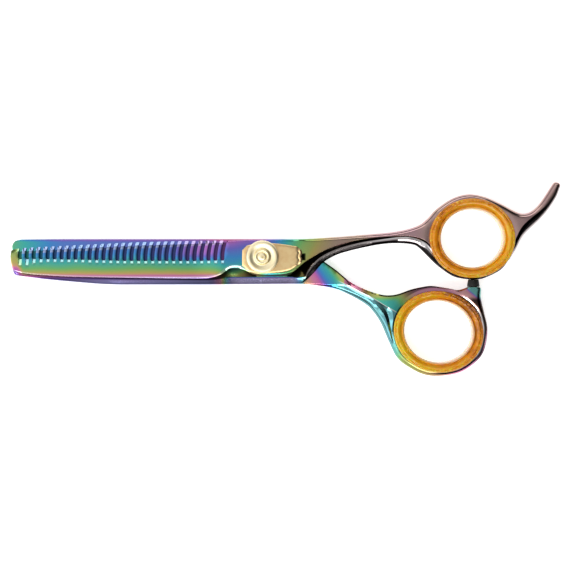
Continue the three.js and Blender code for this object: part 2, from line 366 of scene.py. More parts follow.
# %% Heights of the two halves
washer_low, washer_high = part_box("glide_washer")
RIDE = (washer_low[2] + washer_high[2]) / 2 / MM
RIDE_GAP = 0.05
HEEL, TIP, EDGE_SHARE = 3.2, 1.6, 0.55
RING = 4.4
TIP_X, BLADE_X, HEEL_END_X, FLAT_END_X, SHANK_END_X = -75.8, -12, 12, 20, 38
RECESS, RECESS_DEPTH = 4.7, 0.35
FINGER_HOLE = {"centre": (62.8, 5.6), "tilt": 0, "hole": 9.35, "flange": 12.8, "squash": 0.93}
THUMB_HOLE = {"centre": (52.7, -22.4), "tilt": -12, "hole": 10.25, "flange": 13.5, "squash": 0.9}
INSERT_WALL = 1.4


def blade_thickness(x, from_spine):
    along = np.clip((BLADE_X - x) / (BLADE_X - TIP_X), 0, 1)
    return mix(HEEL, TIP, along) * mix(1, EDGE_SHARE, np.clip(from_spine, 0, 1) * smooth(along, 0,
                                                                                         0.15))


def edge_drop(points, line, radius, depth, chamfer=0):
    """How far an edge falls away: a quarter of an ellipse, or a flat chamfer, radius wide."""
    reach = np.array(np.broadcast_to(radius, len(line)), float)
    high = np.array(np.broadcast_to(depth, len(line)), float)
    gap, reach = distance(points, line, reach)
    high = distance(points, line, high)[1]
    inward = 1 - np.clip(gap / reach, 0, 1)
    return high * mix(1 - np.sqrt(1 - inward**2), inward, chamfer)


def rounding_rows(line, radius, side=1):
    """Rows of points that follow an edge's rounding, closer together where it is steep."""
    radius = np.broadcast_to(radius, len(line))
    turns = np.radians([18, 34, 50, 66, 80, 90])
    rows = []
    for turn in turns:
        offset = radius * (1 - math.cos(turn))
        row = rows_beside(line, [side * offset])[0]
        rows.append(row[distance(row, line) > 0.9 * offset])
    return rows


def banded_drop(points, lines, drops, bends):
    """Facets between a row of lines. Each line has its own drop, read along its length."""
    result = np.zeros(len(points))
    read = [distance(points, line, drop) for line, drop in zip(lines, drops)]
    for i, bend in enumerate(bends):
        (gap, drop), (next_gap, next_drop) = read[i], read[i + 1]
        band = inside(points, np.vstack([lines[i], lines[i + 1][::-1]])) | (next_gap < 0.002)
        share = (gap / np.maximum(gap + next_gap, 1e-6))**bend
        result = np.where(band, mix(drop, next_drop, share), result)
    return result


def seat_drop(points, hole, reach, depth, deeper=0, towards=0):
    """The shallow hollow in which an insert's flange lies, deeper towards one bearing."""
    turn = -math.radians(hole["tilt"])
    x, y = (points - hole["centre"]).T
    across = x * math.cos(turn) - y * math.sin(turn)
    up = (x * math.sin(turn) + y * math.cos(turn)) / hole["squash"]
    facing = np.clip(np.cos(np.arctan2(y, x) - math.radians(towards)), 0, 1)**4
    share = 1 - np.clip((np.hypot(across, up) - hole["flange"] + 0.3) / reach, 0, 1)
    return (depth + deeper * facing) * share


def ring_hole(hole):
    """The oval hole in the steel, round the insert's wall."""
    radius = hole["hole"] + INSERT_WALL
    return oval(hole["centre"], (radius, radius * hole["squash"]), hole["tilt"])

# %% [markdown]
# ## Toothed half
# One forging: toothed blade, heel, shank, finger ring and tang. Its thirty slots are cut by a
# thin wheel that comes down on the blade, so each slot ends in a short ramp towards the spine.
# The slots are part of the outline, and the ramps are part of the upper surface.

# %% Outline of the toothed half
SLOTS, PITCH, SLOT_WIDTH, FIRST_SLOT = 30, 2.1, 1.05, -72.8
LEAN = 0.75
TANG_X, TANG_FALL = (78, 89.4), 0.7

spine = joined(through([(-74.6, -4.9), (-73.8, -5.5), (-69, -6.2), (-63, -6.9), (-50, -8),
                        (-43, -8.3)]), straight((-43, -8.3), (-17, -8.3)),
               straight((-17, -8.3), (12, -8.1)))
shank_under = through([(12, -8.1), (13.2, -7), (15.8, -4.3), (18.4, -1.5), (22, 0.55), (25.7, 1.75),
                       (30.5, 2.9), (35.3, 3.8), (40, 4.15), (44.9, 3.8), (47.3, 2.55), (52.1, -2.2),
                       (56.9, -5.6), (60.5, -6.6)])
ring_under = through([(60.5, -6.6), (63.4, -6.75), (66.5, -6.4), (71.3, -4.05), (73.7, -1.35),
                      (76.1, 2.25), (78.5, 6.6), (83.3, 11.25), (86.2, 14.7), (88.4, 18.2),
                      (89.3, 20.6)])
tang_end = through([(89.3, 20.6), (89.6, 21.6), (89, 22.4), (87.7, 22.5), (86.9, 21.6)], 0.25)
ring_over = through([(86.9, 21.6), (83.3, 16.2), (80.9, 13.9), (78.5, 13.1), (76.1, 13.7), (71.3, 16.2),
                     (66.5, 18.2), (61.7, 18.9), (56.9, 17.6), (52, 14.3), (49.5, 11.6), (46.5, 9.4),
                     (40, 7.65), (29.3, 6.6), (14.9, 5.5), (6, 5.2)])
heel_over = through([(6, 5.2), (-4, 5.05), (-10.2, 4.75)])
tip_line = through([(-76.5, 1.8), (-75.6, 2), (-71.4, 2.6), (-60.8, 3.2), (-54.8, 3.5), (-44, 4.05),
                    (-35.5, 4.4), (-23, 4.7), (-10, 4.85)])


def tooth_tip(x):
    return np.interp(x, tip_line[:, 0], tip_line[:, 1])


def slot_root(x):
    return np.interp(x, [-73, -54, -41, -14], [-0.35, -0.65, -1.0, -1.0])


def ramp_length(x):
    """The wheel came down more gently at the tip, so the first ramps are the longest."""
    return np.interp(x, [-72.8, -70.7, -68.6, -64], [2.3, 2.2, 1.5, 1.05])


def slot_lean(y):
    return LEAN * np.clip((y - 0.6) / 4, 0, 1)**1.5


def slot_edge(x):
    """Down one side of a slot, round its root and up the other side."""
    root, half = slot_root(x), SLOT_WIDTH / 2
    heights = np.linspace(tooth_tip(x + LEAN), root + 0.3, 14)
    right = np.column_stack([x + half + slot_lean(heights), heights])
    turn = np.radians([-25, -60, -90, -120, -155])
    base = np.column_stack([x + half * np.cos(turn), root + 0.3 + 0.3 * np.sin(turn)])
    left = np.column_stack([x - half + slot_lean(heights), heights])[::-1]
    return joined(right, base, left)


slot_x = FIRST_SLOT + PITCH * np.arange(SLOTS)
slot_edges = [slot_edge(x) for x in slot_x]
LAST_TOOTH_END = np.array([-75.5, 1.95])
tooth_ends = []
line = [heel_over]
for edge, before in zip(slot_edges[::-1], slot_edges[-2::-1] + [None]):
    line.append(edge)
    right = edge[-1]
    left = LAST_TOOTH_END if before is None else before[0]
    middle = mix(right, left, np.linspace(0.12, 0.88, 8 if before is None else 4)[:, None])
    crown = np.array([[0, 0.1]]) * np.sin(np.linspace(0.2, 0.8, len(middle)) * math.pi)[:, None]
    end = np.vstack([right, middle + crown, left])
    tooth_ends.append(end)
    line.append(end)
tip_face = through([(-75.5, 1.95), (-75.7, 0), (-75.4, -2.2), (-74.6, -4.9)])
toothed_outline = joined(spine, shank_under, ring_under, tang_end, ring_over, *line, tip_face)[:-1]
print("outline of the toothed half:", len(toothed_outline), "points")

# %% [markdown]
# The spine has a ridge where the flat face ends, a steep wall under it, and a second ridge with
# a slope down to the edge. Both ridges run on along the shank to the finger ring.

# %% Surface of the toothed half
toothed_edge = joined(spine, shank_under)
HIGH_RIDGE = [(-74.5, -4), (-72, -4.75), (-66, -5.4), (-54.8, -5.95), (-33.8, -6.25), (-18.8, -6.3),
              (-15, -6), (-12.5, -5.2), (-10.2, -3.75), (-8.6, -3.4), (-6.5, -3.5), (-3.5, -4.6),
              (0, -5.1), (5.3, -5.1), (8.5, -4.5), (10.5, -3.3), (12.7, -1.5), (15.9, 0.6),
              (18.4, 2), (22.4, 3.5), (26.4, 4.65), (30.4, 5.4), (34.4, 5.9), (41.2, 6.3),
              (44.5, 6.2), (48, 5.4), (50.4, 3.4), (53.5, -1), (57, -5.2)]
LOW_RIDGE = [(-74.6, -4.4), (-72, -5.3), (-66, -6), (-54.8, -6.65), (-33.8, -6.85), (-24, -6.95),
             (-16, -6.95), (-11.5, -6.45), (-6, -6.05), (0, -5.9), (8, -5.9), (11, -6.3), (12.4, -6),
             (13.6, -4.1), (15.9, -1.3), (18.4, 0.55), (22.4, 2.4), (26.4, 3.6), (30.4, 4.5),
             (34.4, 5.1), (38, 5.6), (41.2, 5.95), (44.5, 5.9), (48, 4.7), (50, 2.6), (53, -1.6),
             (57, -5.4)]
high_ridge, low_ridge = through(HIGH_RIDGE), through(LOW_RIDGE)
ridge_x, low_x = high_ridge[:, 0], low_ridge[:, 0]
glint_width = np.interp(ridge_x, [-75, -70, -54, -14, -9, -3, 5, 11],
                        [0.25, 0.35, 0.45, 0.55, 0.95, 0.55, 0.25, 0.06])
top_ridge = rows_beside(high_ridge, [glint_width])[0]
low_width = np.interp(low_x, [-75, 10, 14, 50, 57], [0.05, 0.1, 0.45, 0.8, 0.05])
low_glint = rows_beside(low_ridge, [-low_width])[0]
wall_height = np.interp(ridge_x, [-75, -70, -34, -24, -16, -9.5, -3, 11, 16, 30, 36, 44, 48, 57],
                        [0.2, 0.42, 0.46, 0.52, 0.7, 1.1, 1.15, 1.5, 1.1, 0.8, 0.55, 0.3, 0.7, 0])
low_drop = np.interp(low_x, ridge_x, wall_height + 0.25 * glint_width)
edge_x = [-75, -70, -14, -8, 8, 12, 14, 30, 48, 57]
slope_height = [0.15, 0.4, 0.58, 0.8, 0.82, 0.6, 0.5, 0.4, 0.6, 0]
hook_slot = np.array([(11.15, -0.8), (12.5, -0.8), (12.5, 0.8), (11.15, 0.8)])
HOOK_FLOOR = 2.3
hook_rim = np.array([(11.1, -0.85), (12.55, -0.85), (12.55, 0.85), (11.1, 0.85)])
ridge_lines = [top_ridge, high_ridge, low_ridge, low_glint, toothed_edge]
low_glint_drop = low_drop + np.interp(low_x, [-75, 10, 14, 57], [0.02, 0.04, 0.03, 0.02])
under_x = toothed_edge[:, 0]
edge_fall = np.interp(under_x, low_x, low_glint_drop) + np.interp(under_x, edge_x, slope_height)
ridge_drops = [0 * ridge_x, 0.25 * glint_width, low_drop, low_glint_drop, edge_fall]
toothed_edge_reach = np.interp(under_x, [-75, 12, 14, 46, 57], [0.3, 0.4, 0.12, 0.3, 1.6])
finger_ring_edge = joined(ring_under, tang_end, ring_over)


def toothed_top(points):
    """Blade, shank and tang, less the ridges, the ramps behind the slots and the eased edges."""
    x, y = points.T
    blade = RIDE + RIDE_GAP + blade_thickness(x, (y + 6) / 10.6)
    shank = mix(RIDE + RIDE_GAP + HEEL, RIDE + RING / 2, smooth(x, HEEL_END_X, SHANK_END_X))
    z = np.where(x < BLADE_X, blade, shank) - TANG_FALL * smooth(x, *TANG_X)
    z = z - banded_drop(points, ridge_lines, ridge_drops, [1, 0.8, 1, 1])
    z = z - seat_drop(points, FINGER_HOLE, 1.5, 0.15)
    for at in slot_x:
        root = slot_root(at)
        across = 1 - smooth(np.abs(x - at - 0.06), SLOT_WIDTH / 2 - 0.12, SLOT_WIDTH / 2)
        ramp = ramp_length(at)
        down = np.clip((y - root + ramp) / (ramp + 0.1), 0, 1)
        z = z - np.where(y < root + 0.4, across * down**1.15 * 0.52 * ramp, 0)
    reach = toothed_edge_reach
    ring = finger_ring_edge
    ring_reach = np.interp(ring[:, 0], [6, 16, 38, 50, 80, 90], [0.5, 1.1, 1.4, 1.7, 1.6, 1.3])
    ring_depth = np.interp(ring[:, 0], [6, 16, 38, 50, 80, 90], [0.5, 1.1, 1.6, 1.9, 1.8, 1.2])
    drops = [edge_drop(points, toothed_edge, reach, reach * np.where(reach > 0.7, 1.1, 1)),
             edge_drop(points, ring, ring_reach, ring_depth),
             edge_drop(points, heel_over, 0.5, 0.5), edge_drop(points, tip_face, 0.5, 0.35)]
    teeth = x < BLADE_X + 3
    near = points[teeth]
    ends = np.max([edge_drop(near, end, 0.95, 0.5, 1) for end in tooth_ends], axis=0)
    sides = np.max([edge_drop(near, edge, 0.16, 0.14) for edge in slot_edges], axis=0)
    drops.append(np.zeros(len(points)))
    drops[-1][teeth] = np.maximum(ends, sides)
    z = z - np.max(drops, axis=0)
    return np.where(inside(points, hook_slot), RIDE + HOOK_FLOOR, z)


def toothed_bottom(points):
    """Flat as far as the ride line reaches, then rounded, with the recess for the washer."""
    x, y = points.T
    z = mix(RIDE + RIDE_GAP, RIDE - RING / 2, smooth(x, FLAT_END_X, SHANK_END_X))
    z = z + TANG_FALL * smooth(x, *TANG_X)
    rim = joined(shank_under, ring_under, tang_end, ring_over)
    reach = np.interp(rim[:, 0], [6, 20, 38, 50], [0.12, 0.2, 1.2, 1.6])
    depth = np.interp(rim[:, 0], [6, 20, 38, 50, 80, 90], [0.12, 0.2, 1.4, 1.8, 1.7, 1.1])
    z = z + edge_drop(points, rim, reach, depth)
    return np.where(np.hypot(x, y) < RECESS + 0.02, RIDE + RECESS_DEPTH, z)


def ramp_lines(at):
    """Lines along both sides of a slot's ramp, where the cut starts and where it is full."""
    root = slot_root(at)
    sides = [-SLOT_WIDTH / 2, -SLOT_WIDTH / 2 + 0.12, SLOT_WIDTH / 2 - 0.12, SLOT_WIDTH / 2]
    start = root - ramp_length(at)
    return [straight((at + 0.06 + s, start), (at + 0.06 + s, root - 0.1), 0.25) for s in sides]


toothed_rows = rounding_rows(finger_ring_edge, 1.5) + rounding_rows(toothed_edge, toothed_edge_reach)
toothed_rows += rounding_rows(heel_over, 0.5) + rounding_rows(tip_face, 0.5)
toothed_rows += rows_beside(high_ridge, [-0.12]) + rows_beside(top_ridge, [0.12])
for end in tooth_ends:
    toothed_rows += rounding_rows(end, 1.0)
for edge in slot_edges:
    toothed_rows += rows_beside(edge, [0.05, 0.16])
for at in slot_x:
    toothed_rows += ramp_lines(at)
    toothed_rows += [straight((at + s, slot_root(at) - ramp_length(at)),
                              (at + s, slot_root(at) - 0.1), 0.25) for s in (-0.2, 0.06, 0.3)]
finger_ring_hole = ring_hole(FINGER_HOLE)
toothed_half = sculpt("toothed_forging", toothed_outline, [finger_ring_hole, circle(2.3, 40)],
                      [low_glint, low_ridge, high_ridge, top_ridge, closed(circle(RECESS)),
                       closed(circle(RECESS + 0.06)), closed(hook_slot), closed(hook_rim)],
                      toothed_rows, toothed_top, toothed_bottom)
finish_mesh(toothed_half, 24)
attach(toothed_half, "finger_side")
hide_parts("toothed_half")

# %% [markdown]
# ## Straight half
# The second forging lies under the first: a plain blade whose spine shows above the teeth, a
# flat heel, a shank with a sharp crest, the thumb ring and the boss that holds the bumper. Below
# the crest the shank falls to a lip and a cheek, which part towards the ring.

# %% Outline of the straight half
far_tip = joined(straight((-74.9, -1.6), (-75.4, 3.2)),
                 through([(-75.4, 3.2), (-75.1, 4.1), (-74.3, 4.9), (-72.5, 5.3)], 0.3))
far_spine = joined(straight((-72.5, 5.3), (-60, 5.4)), straight((-60, 5.4), (11, 5.4)))
far_upper = through([(11, 5.4), (14.5, 3), (17, 0.2), (18.5, -1.3), (22, -3.8), (24.7, -6.1),
                     (27.3, -8), (31.9, -10.15), (35.4, -11.25), (38, -11.5), (40.7, -11.1),
                     (44.7, -9.7), (48.7, -8.85), (51, -8.7), (55.5, -9.35), (58.4, -9.9),
                     (60.3, -9.5), (61.5, -9)])
boss_top = straight((61.5, -9), (65.2, -9))
far_right = through([(65.2, -9), (65.6, -9.5), (65.6, -12.3), (66.5, -16.2), (67.6, -21.9),
                     (66.6, -27.9), (64.1, -31.5), (59.3, -34.65), (53.3, -35.7), (48, -35.1),
                     (42.5, -32.1), (40, -29.6)])
far_left = through([(40, -29.6), (37.9, -25.2), (35.4, -19.5), (32.9, -15.9), (30.5, -13.8),
                    (25.7, -11.1), (20.9, -9.3), (13.1, -8.1)])
far_heel = straight((13.1, -8.1), (-5, -7.6))
far_edge = joined(through([(-5, -7.6), (-10, -6.4), (-14, -4.4)]), straight((-14, -4.4), (-74.9, -1.6)))
straight_outline = joined(far_tip, far_spine, far_upper, boss_top, far_right, far_left, far_heel,
                          far_edge)[:-1]
print("outline of the straight half:", len(straight_outline), "points")

# %% Surface of the straight half
crest = through([(13.1, -7.9), (20.3, -8.2), (24.7, -8.1), (28.7, -10.1), (32.7, -12.1),
                 (34.6, -13.3), (37, -14.8), (38.6, -15.7), (39.1, -18), (39, -22), (39.8, -26),
                 (41.2, -29)])
lip = through([(13.1, -7.95), (20.3, -8.4), (24.4, -8.5), (28.4, -10.6), (32.4, -12.6),
               (34.4, -13.8), (35.9, -14.8), (37.3, -16.5), (38.1, -19.1), (38.5, -21.8),
               (39.5, -26.1), (41, -29.1)])
cheek = through([(13.1, -8), (20.3, -8.5), (24.3, -8.65), (28.3, -10.8), (32.1, -12.9), (33.6, -14),
                 (34.9, -15.3), (36.5, -17.5), (37.4, -20.1), (38.1, -22.8), (39.2, -26.3),
                 (40.8, -29.2)])
cheek_width = np.interp(cheek[:, 0], [13, 25, 32, 35, 38, 40.8], [0.05, 0.2, 0.25, 0.65, 0.6, 0.05])
cheek_glint = rows_beside(cheek, [-cheek_width])[0]
flank = far_left[::-1]
HEAD_SEAT, HEAD_SEAT_DEPTH = 4.5, 2.8
crease = [-29, -26, -21, -17, -15, -12, -8.6, -8]
lip_drop = np.interp(lip[:, 1], crease, [0, 0.15, 0.5, 0.6, 0.5, 0.12, 0.1, 0])
cheek_drop = np.interp(cheek[:, 1], crease, [0, 0.1, 0.15, 0.15, 0.2, 0.18, 0.15, 0])
glint_drop = np.interp(cheek_glint[:, 1], crease, [0, 0.2, 0.32, 0.32, 0.33, 0.19, 0.155, 0])
flank_drop = np.interp(flank[:, 1], [-29.6, -26, -19.5, -14, -11, -9.3, -8.1],
                       [0.3, 0.4, 0.6, 0.58, 0.3, 0.2, 0])


def straight_top(points):
    """Flat blade and heel, then a rising shank that leans to its crest and falls over the lip."""
    x, y = points.T
    z = mix(RIDE - RIDE_GAP, RIDE + RING / 2, smooth(x, 22, 39))
    z = z - banded_drop(points, [crest, lip, cheek, cheek_glint, flank],
                        [0 * crest[:, 0], lip_drop, cheek_drop, glint_drop, flank_drop], [1, 1, 1, 1])
    z = z - seat_drop(points, THUMB_HOLE, 1.9, 0.15, 0.45, 25)
    to_crest, to_upper = distance(points, crest), distance(points, far_upper)
    above = inside(points, np.vstack([crest, far_upper[::-1]]))
    lean = 0.6 * smooth(x, 24.3, 27) * (1 - smooth(x, 30, 36))
    z = z - np.where(above, lean * to_crest / np.maximum(to_crest + to_upper, 1e-6), 0)
    reach = np.interp(far_upper[:, 0], [11, 22, 26, 40, 50, 61], [0.3, 0.35, 0.4, 0.45, 0.5, 0.5])
    right_reach = np.interp(far_right[:, 1], [-35, -28, -15, -9], [1.5, 1.5, 1.7, 1.0])
    left_reach = np.interp(flank[:, 0], [13, 22, 34, 40], [0.4, 0.8, 1.2, 1.5])
    drops = [edge_drop(points, far_upper, reach, reach * 0.84, 1),
             edge_drop(points, boss_top, 0.4, 0.4), edge_drop(points, far_right, right_reach,
                                                              right_reach * 1.1),
             edge_drop(points, flank, left_reach, left_reach),
             edge_drop(points, joined(far_tip, far_spine), 0.3, 0.2)]
    z = z - np.max(drops, axis=0)
    return np.where(np.hypot(x, y) < RECESS + 0.02, RIDE - RECESS_DEPTH, z)


def straight_bottom(points):
    """The back of the blade, with a seat for the bolt's head."""
    x, y = points.T
    blade = RIDE - RIDE_GAP - blade_thickness(x, (5.4 - y) / 9.8)
    shank = mix(RIDE - RIDE_GAP - HEEL, RIDE - RING / 2, smooth(x, HEEL_END_X, SHANK_END_X))
    z = np.where(x < BLADE_X, blade, shank)
    rim = joined(far_upper, boss_top, far_right, far_left)
    reach = np.interp(rim[:, 0], [11, 24, 40, 50], [0.5, 0.9, 1.5, 1.7])
    z = z + np.maximum(edge_drop(points, rim, reach, reach * 1.05),
                       edge_drop(points, joined(far_heel, far_edge), 0.5, 0.45))
    z = z + edge_drop(points, joined(far_tip, far_spine), 0.8, 0.5)
    return np.where(np.hypot(x, y) < HEAD_SEAT + 0.02, RIDE - HEAD_SEAT_DEPTH, z)


straight_rows = rows_beside(far_upper, [-0.25, -0.45]) + rounding_rows(boss_top, 0.4, -1)
straight_rows += rounding_rows(far_right, 1.6, -1) + rounding_rows(far_left, 1.3, -1)
straight_rows += rounding_rows(far_heel, 0.5, -1) + rounding_rows(far_edge, 0.5, -1)
straight_rows += rounding_rows(joined(far_tip, far_spine), 0.6, -1)
straight_rows += rows_beside(crest, [0.12])
thumb_ring_hole = ring_hole(THUMB_HOLE)
facet_end = straight((24.55, -5.6), (24.45, -7.9))
recess_rims = [closed(circle(radius)) for radius in (HEAD_SEAT, HEAD_SEAT + 0.06, RECESS, RECESS + 0.06)]
straight_half = sculpt("straight_forging", straight_outline, [thumb_ring_hole, circle(2.56, 40)],
                       [crest, lip, cheek, cheek_glint, facet_end, *recess_rims],
                       straight_rows, straight_top, straight_bottom)
finish_mesh(straight_half, 24)
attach(straight_half, "thumb_side")
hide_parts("straight_half")

# %% [markdown]
# ## Turned pieces
# The dial, the bolt, the washer, the bumper and the inserts are turned: a profile of radius and
# height, with its corners eased as a real lathe or mould leaves them, swept round an axis.

# %% Turned pieces
def eased(profile, reach=0.12):
    """Rounds every corner of a profile by a short curve."""
    profile = np.asarray(profile, float)
    line = [profile[:1]]
    t = np.linspace(0, 1, 5)[:, None]
    for a, b, c in zip(profile, profile[1:], profile[2:]):
        before, after = np.hypot(*(a - b)), np.hypot(*(c - b))
        start = b + (a - b) * min(reach / before, 0.45)
        end = b + (c - b) * min(reach / after, 0.45)
        line.append((1 - t)**2 * start + 2 * t * (1 - t) * b + t**2 * end)
    return joined(*line, profile[-1:])


def turned(name, profile, count, change=None):
    """Sweeps a profile of (radius, height) pairs round Z. change may bend the finished points."""
    angle = np.linspace(0, 2 * math.pi, count, endpoint=False)[:, None]
    radius, height = np.asarray(profile, float).T
    x, y = radius * np.cos(angle), radius * np.sin(angle)
    z = np.broadcast_to(height, x.shape)
    if change:
        x, y, z = change(x, y, z, angle)
    points = np.stack([x, y, z], axis=-1).reshape(-1, 3) * MM
    rows = len(profile)
    faces = []
    for i in range(count):
        here, there = i * rows, (i + 1) % count * rows
        faces += [(here + j, there + j, there + j + 1, here + j + 1) for j in range(rows - 1)]
    piece = mesh_object(name, points, faces)
    work = bmesh.new()
    work.from_mesh(piece.data)
    bmesh.ops.remove_doubles(work, verts=work.verts, dist=1e-7)
    bmesh.ops.recalc_face_normals(work, faces=work.faces)
    work.to_mesh(piece.data)
    work.free()
    print(f"{name}: {len(piece.data.vertices)} points, {len(piece.data.polygons)} faces")
    return piece

# %% [markdown]
# ## Inserts
# Each insert is moulded in soft clear amber plastic and snaps into its ring: two flanges with a
# groove between them. The flange has a thin bead outside, a broad band, a fine groove and a lip
# that leads the finger in. Small moulding nubs stand irregularly along the outer bead.

# %% Inserts
INSERT_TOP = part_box("thumb_insert")[1][2] / MM


def insert_profile(hole, flange):
    """Half of the profile is written down, from the bore to the groove, and mirrored."""
    top = [(hole, RIDE), (hole, INSERT_TOP - 1.5), (hole + 0.15, INSERT_TOP - 0.95),
           (hole + 0.45, INSERT_TOP - 0.6), (hole + 0.75, INSERT_TOP - 0.62),
           (hole + 0.95, INSERT_TOP - 0.85), (hole + 1.2, INSERT_TOP - 0.45),
           (hole + 1.6, INSERT_TOP - 0.12), (hole + 2.05, INSERT_TOP),
           (flange - 0.95, INSERT_TOP - 0.1), (flange - 0.75, INSERT_TOP - 0.38),
           (flange - 0.5, INSERT_TOP - 0.25), (flange - 0.2, INSERT_TOP - 0.35),
           (flange, INSERT_TOP - 0.7), (flange, RIDE + RING / 2 + 0.05),
           (hole + INSERT_WALL - 0.05, RIDE + RING / 2 + 0.05), (hole + INSERT_WALL - 0.05, RIDE)]
    top = eased(top, 0.14)
    bottom = top[::-1] * (1, -1) + (0, 2 * RIDE)
    return joined(top, bottom)


def insert(name, place, nub_angles, seed):
    """An insert laid in its oval ring, with a nub near each angle."""
    dice = np.random.default_rng(seed)
    spots = np.radians(np.array(nub_angles) + dice.uniform(-3, 3, len(nub_angles)))
    sizes = dice.uniform(0.26, 0.42, len(spots))
    inward = dice.uniform(0.5, 1.15, len(spots))
    tilt = math.radians(place["tilt"])

    def seated(x, y, z, angle):
        radius = np.hypot(x, y)
        for spot, size, back in zip(spots, sizes, inward):
            round_way = (angle - spot + math.pi) % (2 * math.pi) - math.pi
            gap = np.hypot(round_way * place["flange"], radius - place["flange"] + back)
            lift = 0.8 * size * np.clip(1 - (gap / (1.35 * size))**2, 0, 1)
            z = z + np.where(z > RIDE + 3, lift, 0)
        y = y * place["squash"]
        x, y = x * math.cos(tilt) - y * math.sin(tilt), x * math.sin(tilt) + y * math.cos(tilt)
        return x + place["centre"][0], y + place["centre"][1], z

    return finish_mesh(turned(name, insert_profile(place["hole"], place["flange"]), 320, seated), 50)


FINGER_NUBS = [152, 146, 128, 118, 110, 97, 91, 78, 66, 60, 38, 12, 232, 263, 286, 322]
THUMB_NUBS = [128, 112, 96, 84, 74, 68, 60, 51, 38, 330, 208, 291]
finger_insert = insert("finger_ring_insert", FINGER_HOLE, FINGER_NUBS, 4)
thumb_insert = insert("thumb_ring_insert", THUMB_HOLE, THUMB_NUBS, 9)
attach(finger_insert, "finger_side")
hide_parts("finger_insert")
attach(thumb_insert, "thumb_side")
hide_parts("thumb_insert")

# %% [markdown]
# ## Tension dial
# A turned and polished dial with a raised boss in a dish. The side is finely fluted for the
# fingertip, and the boss has a turned groove and a centre mark a little off its middle.

# %% Tension dial
dial_low, dial_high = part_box("tension_dial")
DIAL_RADIUS = dial_high[0] / MM
DIAL_LOW, DIAL_HIGH = dial_low[2] / MM, dial_high[2] / MM
RIM = DIAL_HIGH - 0.5
BORE, BORE_TOP = 1.85, 9.45
FLUTES, MARK_DEPTH = 60, 0.3

dial_profile = [(0, BORE_TOP), (BORE, BORE_TOP), (BORE, DIAL_LOW), (DIAL_RADIUS - 0.3, DIAL_LOW),
                (DIAL_RADIUS, DIAL_LOW + 0.3), (DIAL_RADIUS, RIM - 0.45),
                (DIAL_RADIUS - 0.22, RIM - 0.12), (DIAL_RADIUS - 0.6, RIM), (3.75, RIM),
                (3.5, RIM - 0.07), (3.1, RIM - 0.2), (2.75, RIM - 0.26), (2.5, RIM - 0.24),
                (2.3, RIM + 0.05), (2.12, DIAL_HIGH - 0.12), (1.9, DIAL_HIGH - 0.05),
                (1.55, DIAL_HIGH - 0.12), (1.42, DIAL_HIGH - 0.3), (1.28, DIAL_HIGH - 0.3),
                (1.1, DIAL_HIGH - 0.1), (0.8, DIAL_HIGH - 0.02), (0.55, DIAL_HIGH), (0.3, DIAL_HIGH),
                (0, DIAL_HIGH)]


def fluted(x, y, z, angle):
    """Draws in the flutes on the side and sinks the centre mark."""
    side = np.clip((np.hypot(x, y) - DIAL_RADIUS + 0.4) / 0.3, 0, 1)
    draw = 1 - 0.012 * side * (0.5 - 0.5 * np.cos(FLUTES * angle))
    mark = np.clip(1 - (np.hypot(x - 0.42, y + 0.12) / 0.34)**2, 0, 1) * (z > DIAL_HIGH - 0.4)
    return x * draw, y * draw, z - MARK_DEPTH * mark


fine_profile = joined(eased(dial_profile, 0.1)[:-1], straight((0.3, DIAL_HIGH), (0, DIAL_HIGH), 0.06))
tension_dial = finish_mesh(turned("turned_dial", fine_profile, 360, fluted), 40)
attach(tension_dial, "dial")
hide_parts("tension_dial")

# %% [markdown]
# ## Leaf spring
# A pressed spring plate under the dial. Its right end is bent down into a slot in the heel, so
# that it does not turn. Both ends are rolled, which leaves a bright lip.

# %% Leaf spring
leaf_low, leaf_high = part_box("leaf_spring")
LEAF_TOP = leaf_high[2] / MM
LEAF_UNDER = LEAF_TOP - 0.6
leaf_sides = [through([(-6, 2), (-6.05, -0.2), (-6, -2.5)]), straight((-6, -2.5), (-3.9, -4.6)),
              through([(-3.9, -4.6), (-1, -4.95), (2.3, -4.95), (7.7, -4.2), (11.6, -1.9)]),
              through([(11.6, -1.9), (11.9, -1.2), (11.85, -0.4), (11.55, 0.1), (11.8, 0.7),
                       (11.85, 1.5), (11.55, 2.1)], 0.2), straight((11.55, 2.1), (10.4, 3.05)),
              through([(10.4, 3.05), (6.5, 3.7), (2.9, 4.05), (-1, 4.4)]),
              straight((-1, 4.4), (-4.7, 3.3)), straight((-4.7, 3.3), (-6, 2))]
leaf_outline = joined(*leaf_sides)[:-1]
leaf_edge = closed(leaf_outline)
leaf_reach = np.interp(leaf_edge[:, 0], [-6, -5, 9.5, 11.9], [0.7, 0.42, 0.45, 0.5])
lip_strip = np.array([(11.3, -0.6), (11.55, -0.6), (11.55, 0.6), (11.3, 0.6)])


def leaf_top(points):
    rolled = edge_drop(points, leaf_edge, leaf_reach, 0.42 * leaf_reach, 0.7)
    to_end = distance(points, leaf_sides[3])
    return LEAF_TOP - rolled - 0.16 * np.clip(1 - np.abs(to_end - 0.95) / 0.4, 0, 1)


def leaf_bottom(points):
    """The bent end reaches down into the slot in the heel."""
    return np.where(inside(points, lip_strip), leaf_low[2] / MM + 0.02, LEAF_UNDER)


lip_wall = closed(np.array([(11.26, -0.64), (11.6, -0.64), (11.6, 0.64), (11.26, 0.64)]))
leaf_rows = rounding_rows(leaf_edge, leaf_reach)
leaf_rows += rows_beside(leaf_sides[3], [0.55, 0.75, 0.95, 1.15, 1.35])
leaf_spring = sculpt("spring_plate", leaf_outline, [circle(2.6, 48)], [closed(lip_strip), lip_wall],
                     leaf_rows, leaf_top, leaf_bottom, 0.6)
finish_mesh(leaf_spring)
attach(leaf_spring, "finger_side")
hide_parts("leaf_spring")
